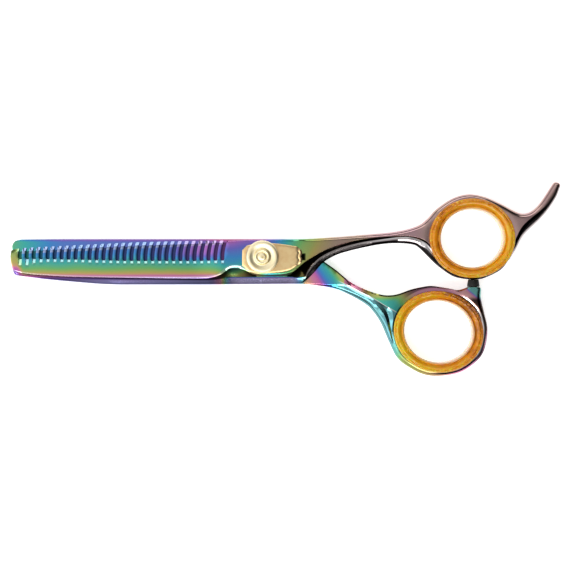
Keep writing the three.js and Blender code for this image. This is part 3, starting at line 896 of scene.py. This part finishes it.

# %% [markdown]
# ## Pivot bolt and washer
# The bolt comes up from behind: a low head, a plain bearing, two flats
# that lock it to the toothed half, and the thread that the dial runs on. A plastic glide washer
# lies round the bearing between the halves.

# %% Pivot bolt and washer
bolt_low, bolt_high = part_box("pivot_bolt")
HEAD_RADIUS = bolt_high[0] / MM
BOLT_TOP = bolt_high[2] / MM
KEY_TOP, THREAD_PITCH = 7.0, 0.5
thread_heights = np.arange(KEY_TOP + 0.05, BOLT_TOP - 0.2, THREAD_PITCH / 8)
thread_line = np.column_stack([np.full(len(thread_heights), 1.8), thread_heights])
bolt_profile = joined(eased([(0, 0), (2.6, 0), (HEAD_RADIUS - 0.35, 0), (HEAD_RADIUS, 0.35),
                             (HEAD_RADIUS, 0.9), (2.5, 0.9), (2.5, 4.05), (2.2, 4.05),
                             (2.2, KEY_TOP), (1.8, KEY_TOP)], 0.08), thread_line,
                      eased([(1.8, BOLT_TOP - 0.2), (1.6, BOLT_TOP), (0, BOLT_TOP)], 0.06))


def machined(x, y, z, angle):
    """Mills two flats for the key and cuts the thread."""
    on_key = (z > 4.1) & (z < KEY_TOP + 0.01)
    x = np.where(on_key, np.clip(x, -1.85, 1.85), x)
    turn = (z / THREAD_PITCH - angle / (2 * math.pi)) % 1
    threaded = (z > KEY_TOP + 0.02) & (z < BOLT_TOP - 0.19)
    cut = np.where(threaded, 1 - 0.09 * np.abs(2 * turn - 1), 1)
    return x * cut, y * cut, z


pivot_bolt = finish_mesh(turned("turned_bolt", bolt_profile, 96, machined), 30)
WASHER_LOW, WASHER_HIGH = washer_low[2] / MM, washer_high[2] / MM
washer_profile = eased([(2.62, WASHER_LOW + 0.3), (2.62, WASHER_HIGH), (4.48, WASHER_HIGH),
                        (4.48, WASHER_LOW), (2.62, WASHER_LOW), (2.62, WASHER_LOW + 0.3)], 0.08)
glide_washer = finish_mesh(turned("turned_washer", washer_profile, 96))
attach(pivot_bolt, "finger_side")
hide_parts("pivot_bolt")
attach(glide_washer, "thumb_side")
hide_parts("glide_washer")

# %% [markdown]
# ## Bumper
# A small rubber plug pressed into the boss on the thumb ring. The finger ring stops against it.

# %% Bumper
bumper_low, bumper_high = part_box("bumper")
BUMPER_X = (bumper_low[0] + bumper_high[0]) / 2 / MM
BUMPER_LOW, BUMPER_TOP = -9, bumper_high[1] / MM
BUMPER_STEM = BUMPER_LOW - bumper_low[1] / MM
bumper_profile = eased([(0, -BUMPER_STEM), (1, -BUMPER_STEM), (1, 0.05), (1.85, 0.05), (1.87, 0.5),
                        (1.72, 1.5), (1.6, BUMPER_TOP - BUMPER_LOW), (0, BUMPER_TOP - BUMPER_LOW)],
                       0.25)


def laid_along_y(x, y, z, angle):
    return BUMPER_X + x, BUMPER_LOW + z, RIDE + y


bumper = finish_mesh(turned("rubber_plug", bumper_profile, 64, laid_along_y), 40)
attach(bumper, "thumb_side")
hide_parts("bumper")

# %% [markdown]
# ## Rainbow coating
# The steel carries a clear oxide film. Its colour depends only on how thick the film is, and
# runs round the same order again and again: pink, olive, green, teal, blue, purple, magenta.
# The film is thicker in some places than in others, so the colour is a ramp read by a film
# value, and the film value is a smooth field over each forging. It could be painted by hand, but
# a field has no resolution and can be retuned. The fields are written as plain sums and
# products, and a small class turns these into shader nodes.

# %% Fields
def feed(socket, value):
    """Puts a field or a plain number on a node's input."""
    if isinstance(value, Field):
        value.tree.links.new(value.socket, socket)
    else:
        socket.default_value = value


def maths(operation, first, *others):
    """One maths node. The first value is a field, the others are fields or plain numbers."""
    node = first.tree.nodes.new("ShaderNodeMath")
    node.operation = operation
    for socket, value in zip(node.inputs, (first, *others)):
        feed(socket, value)
    return Field(first.tree, node.outputs[0])


class Field:
    """A value that varies over a surface. Arithmetic on fields builds maths nodes."""

    def __init__(self, tree, socket):
        self.tree = tree
        self.socket = socket

    def __add__(self, other):
        return maths("ADD", self, other)

    def __sub__(self, other):
        return maths("SUBTRACT", self, other)

    def __rsub__(self, other):
        return maths("MULTIPLY_ADD", self, -1, other)

    def __mul__(self, other):
        return maths("MULTIPLY", self, other)

    def __truediv__(self, other):
        return maths("DIVIDE", self, other)

    __radd__ = __add__
    __rmul__ = __mul__


def highest(first, *others):
    for other in others:
        first = maths("MAXIMUM", first, other)
    return first


def blended(share, a, b):
    """A number part of the way from a to b."""
    node = share.tree.nodes.new("ShaderNodeMix")
    for socket, value in zip((node.inputs[0], node.inputs[2], node.inputs[3]), (share, a, b)):
        feed(socket, value)
    return Field(share.tree, node.outputs[0])


def step_between(value, start, end):
    """Rises smoothly from 0 to 1 as the value passes from start to end."""
    node = value.tree.nodes.new("ShaderNodeMapRange")
    node.interpolation_type = "SMOOTHSTEP"
    for name, number in (("Value", value), ("From Min", start), ("From Max", end)):
        feed(node.inputs[name], number)
    return Field(value.tree, node.outputs[0])


def window(value, rise_start, rise_end, fall_start, fall_end):
    """1 from rise_end to fall_start and 0 outside the two ends, with smooth flanks."""
    return step_between(value, rise_start, rise_end) * step_between(value, fall_end, fall_start)


def read_curve(value, knots):
    """A smooth curve through a few given (value, result) knots."""
    (low, high), (least, most) = [(min(column), max(column)) for column in zip(*knots)]
    node = value.tree.nodes.new("ShaderNodeFloatCurve")
    feed(node.inputs["Value"], (value - low) / (high - low))
    points = node.mapping.curves[0].points
    while len(points) < len(knots):
        points.new(0.5, 0.5)
    for point, (at, result) in zip(points, sorted(knots)):
        point.location = ((at - low) / (high - low), (result - least) / (most - least))
    node.mapping.update()
    return (most - least) * Field(value.tree, node.outputs["Value"]) + least

# %% [markdown]
# Colours, places and grain are fields too. A place is read in millimetres on the piece itself,
# so the finish moves with the piece.

# %% Colour, place and grain
def colour_ramp(value, stops):
    node = value.tree.nodes.new("ShaderNodeValToRGB")
    elements = node.color_ramp.elements
    while len(elements) < len(stops):
        elements.new(0.5)
    for element, (at, colour) in zip(elements, stops):
        element.position = at
        element.color = (*colour, 1)
    feed(node.inputs["Fac"], value)
    return Field(value.tree, node.outputs["Color"])


def toward(share, colour, other):
    """A colour part of the way to another, fixed one."""
    node = share.tree.nodes.new("ShaderNodeMix")
    node.data_type = "RGBA"
    feed(node.inputs["Factor"], share)
    feed(node.inputs[6], colour)
    node.inputs[7].default_value = (*other, 1)
    return Field(share.tree, node.outputs[2])


def scaled(vector, factor):
    node = vector.tree.nodes.new("ShaderNodeVectorMath")
    node.operation = "SCALE"
    feed(node.inputs[0], vector)
    feed(node.inputs["Scale"], factor)
    return Field(vector.tree, node.outputs[0])


def millimetres(tree):
    """The place on the piece, in millimetres, as a vector and as x, y and z."""
    texture_place = tree.nodes.new("ShaderNodeTexCoord")
    place = scaled(Field(tree, texture_place.outputs["Object"]), 1 / MM)
    split = tree.nodes.new("ShaderNodeSeparateXYZ")
    feed(split.inputs[0], place)
    return place, *[Field(tree, output) for output in split.outputs]


def noise(place, scale, detail=2.0):
    node = place.tree.nodes.new("ShaderNodeTexNoise")
    node.inputs["Scale"].default_value = scale
    node.inputs["Detail"].default_value = detail
    feed(node.inputs["Vector"], place)
    return Field(place.tree, node.outputs["Fac"])


def bumped(shader_node, height, distance_mm, strength=1.0):
    node = height.tree.nodes.new("ShaderNodeBump")
    node.inputs["Distance"].default_value = distance_mm * MM
    node.inputs["Strength"].default_value = strength
    feed(node.inputs["Height"], height)
    feed(shader_node.inputs["Normal"], Field(height.tree, node.outputs["Normal"]))

# %% [markdown]
# The film ramp starts and ends on the same pink, so it can run round. Polished steel lies under
# it. The coat is worn grey in places, and painted highlights turn it pale in others. The painted
# shading puts painted shade on the steep walls and lightens a few places. A thin-film shader would
# be nearer to the physics, but its colours can't be set one by one.

# %% Coated steel
FILM = [(0.0, (0.60, 0.22, 0.34)), (0.07, (0.60, 0.32, 0.20)), (0.15, (0.46, 0.40, 0.12)),
        (0.28, (0.17, 0.46, 0.15)), (0.42, (0.06, 0.42, 0.37)), (0.55, (0.06, 0.25, 0.56)),
        (0.66, (0.15, 0.15, 0.52)), (0.76, (0.30, 0.15, 0.50)), (0.87, (0.54, 0.14, 0.38)),
        (1.0, (0.60, 0.22, 0.34))]
DRIFT = 0.12
WHOLE_TURNS = 2
# The pale colour that the painted highlights mix in.
PAINTED_HIGHLIGHT_WHITE = (0.88, 0.88, 0.86)
POLISH = 0.13
SATIN = 0.5


def coated(name, film_field, shade_field, bare_metal, satin_field=None):
    """Steel under a film. The shade field gives painted shade and light, grey and painted highlights."""
    material, bsdf, tree = shader(name)
    place, x, y, z = millimetres(tree)
    film = film_field(x, y) + DRIFT * noise(place, 0.12) - DRIFT / 2
    # The first value scales the colour for painted light and shade, and the third mixes in pale painted
    # highlights.
    painted_shading, grey, pale = shade_field(x, y)
    colour = toward(grey, colour_ramp(maths("FRACT", film + WHOLE_TURNS), FILM), bare_metal)
    colour = toward(pale, colour, PAINTED_HIGHLIGHT_WHITE)
    feed(bsdf.inputs["Base Color"], scaled(colour, painted_shading))
    bsdf.inputs["Metallic"].default_value = 1.0
    bsdf.inputs["Roughness"].default_value = POLISH
    if satin_field:
        feed(bsdf.inputs["Roughness"], (SATIN - POLISH) * satin_field(x, y) + POLISH)
    bumped(bsdf, noise(place, 9, 4), 0.004)
    return material

# %% [markdown]
# On the toothed half the film follows the height across the blade, from lavender under the ridge
# to blue on the teeth, turns diagonally past the dial and settles to mauve along the shank.

# %% Film on the toothed half
ACROSS_BLADE = [(-8.3, -0.36), (-6.6, -0.28), (-5.7, -0.06), (-5.0, 0.1), (-3.8, 0.25), (-2.2, 0.38),
                (-0.8, 0.47), (1.5, 0.57), (4.7, 0.55)]
AT_TIP = [(-6, -0.3), (-4.4, -0.25), (-3.4, -0.1), (-2.2, 0.1), (0, 0.17), (2, 0.2)]
LEFT_OF_DIAL = [(-8.3, 0.12), (-6, 0.12), (-5, 0.2), (-3.4, 0.36), (-1.5, 0.48), (0.5, 0.56),
                (3, 0.68), (5.2, 0.84)]
ALONG_SHANK = [(0, 0.62), (3, 0.52), (6, 0.42), (9, 0.31), (12.5, 0.2), (17, 0.1), (25, 0.06),
               (60, 0.05), (78, 0.05), (84, 0.12), (90, -0.05)]


def toothed_film(x, y):
    over_teeth = step_between(x, -34, -15) * step_between(y, -1.8, 1.5)
    blade = 0.22 * over_teeth + read_curve(y, ACROSS_BLADE)
    blade = blended(step_between(x, -71.5, -74), blade, read_curve(y, AT_TIP))
    heel = read_curve(0.6 * maths("SINE", 0.5 * x) + y, LEFT_OF_DIAL)
    shank = read_curve(x - 0.5 * y, ALONG_SHANK)
    film = blended(step_between(x, -16, -10.5), blade, heel)
    film = blended(step_between(x, -2, 3), film, shank)
    low_strip = step_between(y, -5.8, -6.2) * window(x, -13, -9, 13, 15)
    return blended(low_strip, film, 0.7 - 0.3 * step_between(x, 8, 13))

# %% [markdown]
# Its painted shade follows the two ridges. The wall between them is painted nearly black past the
# dial, and so are the strip under the shank's worn ridge and the notch for the leaf spring. Thin
# pale painted highlights stand along the blade's ridge, on the tooth tips and in the ramps, the
# heel strip is painted paler and a cream painted highlight runs under the shank's ridge. The curves
# below repeat the ridges, run on round the ring, and give the widths of the lines.

# %% Shade on the toothed half
def between(knots, low, high):
    return [knot for knot in knots if low <= knot[0] <= high]


# The blade's ridge edge, along which a pale painted highlight runs.
BRIGHT_EDGE = [(-76, -3.6)] + between(HIGH_RIDGE, -72, 0)
WALL_TOP = [(-16, -6)] + between(HIGH_RIDGE, -12.5, -3.5) + [(0, -5.2), (5, -5.1)]
WALL_TOP += between(HIGH_RIDGE, 8.5, 44.5) + [(48, 5.3), (50.4, 3.4), (53.5, -1), (58, -5), (66, -4.6)]
WALL_TOP += [(73, -1), (75.9, 5.6), (78, 9.4), (80.1, 11.4), (83.1, 13.8), (85.5, 16), (87.2, 18.2),
             (89.4, 21)]
RIDGE_TOP = [(-16, -6.9), (-11.5, -6.4), (-6, -6.1)] + between(LOW_RIDGE, 8, 44.5)
RIDGE_TOP += [(48, 4.75), (50.2, 2.9), (51.8, 0.8), (54, -3), (56, -5.6), (60, -7.4), (66, -7),
              (72, -3.6), (76, 3.8), (79, 8.9), (83.3, 12.9), (86.2, 16.3), (88.4, 19.9)]
PAST_LEAF = [(-16, 0), (-12, 0.4), (-5, 0.5), (-2, 0.85), (3, 0.95), (12, 1)]
WORN_WIDTH = [(10, 0.5), (14, 0.8), (22, 0.6), (34, 0.6), (41, 1.1), (46, 1.4), (50, 1.6), (52, 0.9),
              (54, 0.2), (90, 0.2)]
EDGE_WIDTH = [(-76, 0.3), (-14, 0.6), (-9, 1.0), (-3, 0.7), (0, 0.3)]
RAMP_START = [(-74, -2.7), (-70.7, -2.7), (-68.6, -2.1), (-64, -1.75), (-41, -2.1), (-10, -2.1)]
# The width of the cream painted highlight under the shank's ridge.
CREAM_HIGHLIGHT_WIDTH = [(22, 0.6), (34, 0.45), (42, 0.4), (46, 0.6), (49, 1.5), (52, 1.6)]


def teeth_line(x):
    """The height of the tooth tips, as a field."""
    return 0.0445 * x + 5.1


def toothed_painted_shade(x, y, below_ridge):
    # Painted shade on the steep wall past the dial, the strip under the worn ridge and the leaf spring's
    # notch.
    wall = step_between(read_curve(x, WALL_TOP) - y, -0.05, 0.15) * step_between(below_ridge, 0.1, -0.1)
    wall = wall * read_curve(x, PAST_LEAF) * step_between(x, 88.5, 86)
    under = step_between(below_ridge - read_curve(x, WORN_WIDTH), -0.1, 0.1)
    under = under * window(x, 11.5, 13.5, 58, 64)
    notch = window(x, 11, 11.3, 12.7, 13.1) * step_between(maths("ABSOLUTE", y), 1.15, 0.95)
    return 1 - 0.95 * highest(wall, under, notch)


def toothed_grey(x, y, below_ridge):
    worn = step_between(below_ridge, -0.1, 0.1) * step_between(x, 11, 14)
    strip = step_between(y, -6.5, -7.1) * step_between(x, 18, 12)
    strip = strip * (0.4 - 0.3 * step_between(x, -14, -9))
    return highest(0.9 * worn, strip, 0.52 * step_between(x, 14, 24))


def toothed_painted_highlight(x, y, below_ridge):
    # Painted highlights: pale lines on the blade's ridge edge, the tooth tips and the ramps, a paler
    # heel strip and a cream line under the shank's ridge.
    above_edge = y - read_curve(x, BRIGHT_EDGE)
    edge = step_between(above_edge, -0.15, 0.05) * step_between(x, 0, -2)
    edge = edge * step_between(above_edge - read_curve(x, EDGE_WIDTH), 0.12, -0.1)
    tips = step_between(y - teeth_line(x), -1.05, -0.75)
    turn = maths("FRACT", (x - (FIRST_SLOT - PITCH / 2 - PITCH)) / PITCH)
    ramps = step_between(maths("ABSOLUTE", turn - 0.52), 0.27, 0.23) * step_between(y, 0.3, -0.3)
    ramps = ramps * step_between(y - read_curve(x, RAMP_START), 0, 0.25)
    cuts = highest(tips, ramps) * window(x, -73.7, -73.5, -11.8, -11.2)
    heel_strip = window(x, -13, -8, 9, 12) * step_between(y, -6.1, -6.5)
    cream_highlight = step_between(x, 22, 40) * step_between(x, 53, 51.5) * step_between(below_ridge, -0.15, 0.05)
    cream_highlight = cream_highlight * step_between(below_ridge - read_curve(x, CREAM_HIGHLIGHT_WIDTH), 0.1, -0.1)
    return highest(0.32 * edge, 0.26 * cuts, 0.3 * heel_strip, 0.5 * cream_highlight)


def toothed_shade(x, y):
    below_ridge = read_curve(x, RIDGE_TOP) - y
    return [part(x, y, below_ridge) for part in (toothed_painted_shade, toothed_grey, toothed_painted_highlight)]


toothed_half.data.materials.append(coated("rainbow_toothed", toothed_film, toothed_shade,
                                          (0.36, 0.34, 0.34)))
print("finish of the toothed half:", len(toothed_half.data.materials[0].node_tree.nodes), "nodes")

# %% [markdown]
# On the straight half the film crosses the flat heel in slanting bands, from orange to yellow,
# and then runs round the thumb ring by bearing. Where the blades slide on each other it is
# blue, with painted shade under the teeth.

# %% Film on the straight half
SLANTED_BANDS = [(5, 1.1), (7.5, 1.05), (9.6, 0.96), (10.9, 0.78), (11.9, 0.6), (12.9, 0.5),
                 (14.2, 0.42), (15.5, 0.27), (16.4, 0.17), (17.5, 0.14)]
ROUND_THUMB = [(-180, 0.44), (-160, 0.36), (-140, 0.2), (-115, 0.14), (-90, 0.08), (-60, -0.02),
               (-20, -0.06), (20, 0.06), (60, 0.02), (80, -0.02), (110, 0.0), (128, 0.1), (142, 0.26),
               (158, 0.42), (180, 0.44)]
CREST_LINE = [(24.7, -8.1), (28.7, -10.1), (32.7, -12.1), (34.6, -13.3), (37, -14.8), (38.6, -15.7)]
ALONG_SPINE = [(-76, 0.3), (-72, 0.4), (-66, 0.52), (-58, 0.6), (-20, 0.66), (-8, 0.8), (2, 0.62),
               (6, 0.5), (12, 0.3)]
SHANK_START = 24.55
TEAL = 0.45
BOSS_FILM = -0.57


def beyond_flange(x, y, hole):
    """How far a point lies outside an insert's flange, and its bearing from the hole's centre."""
    turn = math.radians(hole["tilt"])
    east = x - hole["centre"][0]
    north = y - hole["centre"][1]
    across = math.cos(turn) * east + math.sin(turn) * north
    up = (math.cos(turn) * north - math.sin(turn) * east) / hole["squash"]
    bearing = maths("DEGREES", maths("ARCTAN2", north, east))
    return maths("SQRT", across * across + up * up) - hole["flange"], bearing


def above_the_crest(x, y):
    return y - read_curve(x, CREST_LINE)


def straight_film(x, y):
    spine_film = 0.14 * step_between(y, 4.4, 5.4) + read_curve(x, ALONG_SPINE)
    bands = read_curve(0.84 * x + 0.54 * y, SLANTED_BANDS)
    film = blended(step_between(x, 8, 11), spine_film, bands)
    above_crest = step_between(above_the_crest(x, y), -0.1, 0.1)
    facet = 0.17 * step_between(x, 28, 33) + 0.24 * step_between(y, -11.5, -13.6)
    film = blended(above_crest * maths("GREATER_THAN", x, SHANK_START), film, facet)
    film = blended((1 - above_crest) * step_between(x, 21, 25), film, TEAL)
    bearing = beyond_flange(x, y, THUMB_HOLE)[1]
    boss = step_between(0.8 * x + y, 38.4, 40) * step_between(x, 60, 62)
    ring_film = blended(boss, read_curve(bearing, ROUND_THUMB), BOSS_FILM)
    return blended(step_between(x, 38.2, 42), film, ring_film)

# %% [markdown]
# Its painted shade lies under the teeth, on the steep flank right of the thumb ring, along the
# ring's top edge and in the gap round the insert, and the shank is painted a little brighter before
# the crest and dimmer below it. The crest and the bevel round the ring carry pale painted
# highlights, and the underside of the ring is rubbed to a satin finish.

# %% Shade on the straight half
def straight_shade(x, y):
    over_crest = above_the_crest(x, y)
    below = step_between(over_crest, 0.1, -0.1) * step_between(x, 21, 25)
    # The crest line and the face below it get pale painted highlights.
    crest_line = step_between(maths("ABSOLUTE", over_crest), 0.26, 0.12) * step_between(x, 22, 25)
    pale = highest(0.6 * crest_line, 0.14 * below) * step_between(x, 43, 39)
    gap, bearing = beyond_flange(x, y, THUMB_HOLE)
    right = window(bearing, -55, -30, 50, 58)
    # The bevel right of the thumb ring gets a pale painted highlight.
    bevel = 0.75 * right * step_between(gap, 1.0, 0.8)

    # Painted shade under the teeth, on the right flank, under the insert, in the gaps round it and along
    # the ring's top edge.
    under_teeth = step_between(teeth_line(x) - y, 0, 0.35) * step_between(x, -6, -12)
    flank = right * step_between(gap, 0.95, 1.15) * step_between(y, -11.6, -13)
    under = window(bearing, -105, -80, -45, -30) * step_between(gap, 0.85, 0.6)
    crevice = window(bearing, 12, 20, 52, 64) * step_between(gap, 0.45, 0.3)
    left_gap = step_between(bearing, 140, 150) * step_between(gap, 0.7, 0.2)
    top_edge = window(bearing, 58, 66, 125, 140) * step_between(gap, 0.9, 1.3)
    shade = highest(flank, 0.9 * under, crevice, left_gap, 0.7 * top_edge, 0.75 * under_teeth)
    # The shank is painted a little brighter before the crest and dimmer below it.
    painted_brighter = window(x, 11, 13, 24.5, 24.6)
    painted_dimmer = below * window(x, 23, 26, 37, 41)
    painted_shading = (1 + 0.2 * painted_brighter - 0.35 * painted_dimmer) * (1 - 0.93 * shade)

    boss = step_between(x, 56, 61) * step_between(y, -15, -12.5)
    grey = 0.3 * highest(boss, window(bearing, 40, 60, 125, 140))
    return painted_shading, grey, highest(pale, bevel)


def straight_satin(x, y):
    gap, bearing = beyond_flange(x, y, THUMB_HOLE)
    return window(bearing, -170, -160, -95, -75) * step_between(gap, 0.2, 0.6)


straight_half.data.materials.append(coated("rainbow_straight", straight_film, straight_shade,
                                           (0.34, 0.32, 0.31), straight_satin))
print("finish of the straight half:", len(straight_half.data.materials[0].node_tree.nodes), "nodes")

# %% [markdown]
# ## Gold pieces
# The dial is polished and lacquered pale gold, with faint turning rings. The spring plate is the
# same colour but brushed along its length, and the bolt is plated the same way.

# %% Gold pieces
def gold(name, pale, deep, roughness, height_of):
    material, bsdf, tree = shader(name)
    place, x, y, z = millimetres(tree)
    feed(bsdf.inputs["Base Color"], colour_ramp(noise(place, 0.45), [(0.35, deep), (0.65, pale)]))
    bsdf.inputs["Metallic"].default_value = 1.0
    bsdf.inputs["Roughness"].default_value = roughness
    bumped(bsdf, height_of(place, x, y), 0.006)
    return material


def turning_rings(place, x, y):
    radius = maths("SQRT", x * x + y * y)
    return 0.3 * noise(place, 6) + 0.25 * maths("SINE", 30 * radius)


def brushing(place, x, y):
    stretch = place.tree.nodes.new("ShaderNodeMapping")
    stretch.inputs["Scale"].default_value = (0.6, 14, 1)
    feed(stretch.inputs["Vector"], place)
    return noise(Field(place.tree, stretch.outputs["Vector"]), 1.0, 6)


def fine_grain(place, x, y):
    return noise(place, 5, 4)


gold_finishes = [
    (tension_dial, "polished_gold", (1.0, 0.9, 0.6), (1.0, 0.85, 0.52), 0.4, turning_rings),
    (leaf_spring, "brushed_gold", (0.86, 0.64, 0.32), (0.78, 0.52, 0.24), 0.3, brushing),
    (pivot_bolt, "plated_steel", (0.80, 0.70, 0.50), (0.74, 0.62, 0.42), 0.22, fine_grain),
]
for piece, *finish in gold_finishes:
    piece.data.materials.append(gold(*finish))
    print(piece.name, "is", finish[0])

# %% [markdown]
# ## Amber
# The inserts are soft clear amber plastic that lets some light through. Their colour is painted
# lighter and yellow on the side of the light and deep orange on the other, with painted shade on one
# side of the rim and in the groove, darker flow lines, pale painted sparkles on small bumps in the
# outer rim and a pale painted glow round the hole, where the white sheet shows through.

# %% Amber
AMBER = [(0.0, (0.45, 0.14, 0.004)), (0.3, (0.92, 0.34, 0.006)), (0.45, (1.0, 0.44, 0.008)),
         (0.62, (1.0, 0.55, 0.012)), (0.85, (1.0, 0.78, 0.03))]


def facing(bearing, towards):
    """1 on the given bearing, -1 on the opposite one."""
    return maths("COSINE", maths("RADIANS", bearing - towards))


def amber(name, hole, bearing_of_light, painted_light_swing, bearing_of_shade):
    material, bsdf, tree = shader(name)
    place, x, y, z = millimetres(tree)
    gap, bearing = beyond_flange(x, y, hole)
    rim = step_between(gap, -1.6, -0.9)
    # Painted shade on one side of the rim and in the groove.
    shaded = rim * step_between(facing(bearing, bearing_of_shade), -0.1, 0.7)
    groove = window(gap, -2.9, -2.6, -2.5, -2.2)
    bumps_and_sparkles = step_between(noise(place, 1.5, 1), 0.57, 0.62) * rim
    # Painted light: lighter towards the light's bearing, with pale painted sparkles on the bumps.
    level = 0.9 * noise(place, 0.35, 3) + painted_light_swing * facing(bearing, bearing_of_light)
    level = level - 0.2 * shaded - 0.25 * groove + 0.35 * bumps_and_sparkles
    # A pale painted glow round the hole.
    lip = step_between(gap - (hole["hole"] - hole["flange"]), 0.6, 0.2)
    feed(bsdf.inputs["Base Color"], toward(0.7 * lip, colour_ramp(level, AMBER), (1.0, 0.82, 0.56)))
    bsdf.inputs["Roughness"].default_value = 0.14
    bsdf.inputs["IOR"].default_value = 1.49
    bsdf.inputs["Transmission Weight"].default_value = 0.3
    bsdf.inputs["Subsurface Weight"].default_value = 0.5
    bsdf.inputs["Subsurface Radius"].default_value = (1.0, 0.45, 0.08)
    bsdf.inputs["Subsurface Scale"].default_value = 0.001
    bumped(bsdf, noise(place, 1.6, 3) + 0.8 * bumps_and_sparkles, 0.14, 0.7)
    return material


finger_insert.data.materials.append(amber("amber_finger", FINGER_HOLE, 10, 0.1, 85))
thumb_insert.data.materials.append(amber("amber_thumb", THUMB_HOLE, 190, 0.24, 75))
print("both inserts are amber")

# %% [markdown]
# ## Rubber and glide plastic
# The bumper is matt black rubber with a fine grain. The washer is waxy white plastic, slightly
# cloudy, which lets a little light in.

# %% Rubber and glide plastic
def moulded(name, grain_scale, grain_detail, dark, light):
    """A plastic with its place, its colour grain and its Principled node."""
    material, bsdf, tree = shader(name)
    place, *_ = millimetres(tree)
    grain = noise(place, grain_scale, grain_detail)
    feed(bsdf.inputs["Base Color"], colour_ramp(grain, [(0.3, dark), (0.7, light)]))
    return material, bsdf, place, grain


rubber, rubber_bsdf, place, grain = moulded("black_rubber", 3.5, 5, (0.004, 0.005, 0.004),
                                            (0.016, 0.018, 0.015))
rubber_bsdf.inputs["Roughness"].default_value = 0.5
rubber_bsdf.inputs["Specular IOR Level"].default_value = 0.3
bumped(rubber_bsdf, grain, 0.15)
bumper.data.materials.append(rubber)

glide, glide_bsdf, place, cloud = moulded("waxy_white", 0.8, 2, (0.78, 0.78, 0.75), (0.86, 0.86, 0.84))
glide_bsdf.inputs["Roughness"].default_value = 0.38
glide_bsdf.inputs["Subsurface Weight"].default_value = 0.15
glide_bsdf.inputs["Subsurface Scale"].default_value = 0.0005
bumped(glide_bsdf, noise(place, 8), 0.005)
glide_washer.data.materials.append(glide)
print("the bumper is rubber and the washer is waxy plastic")
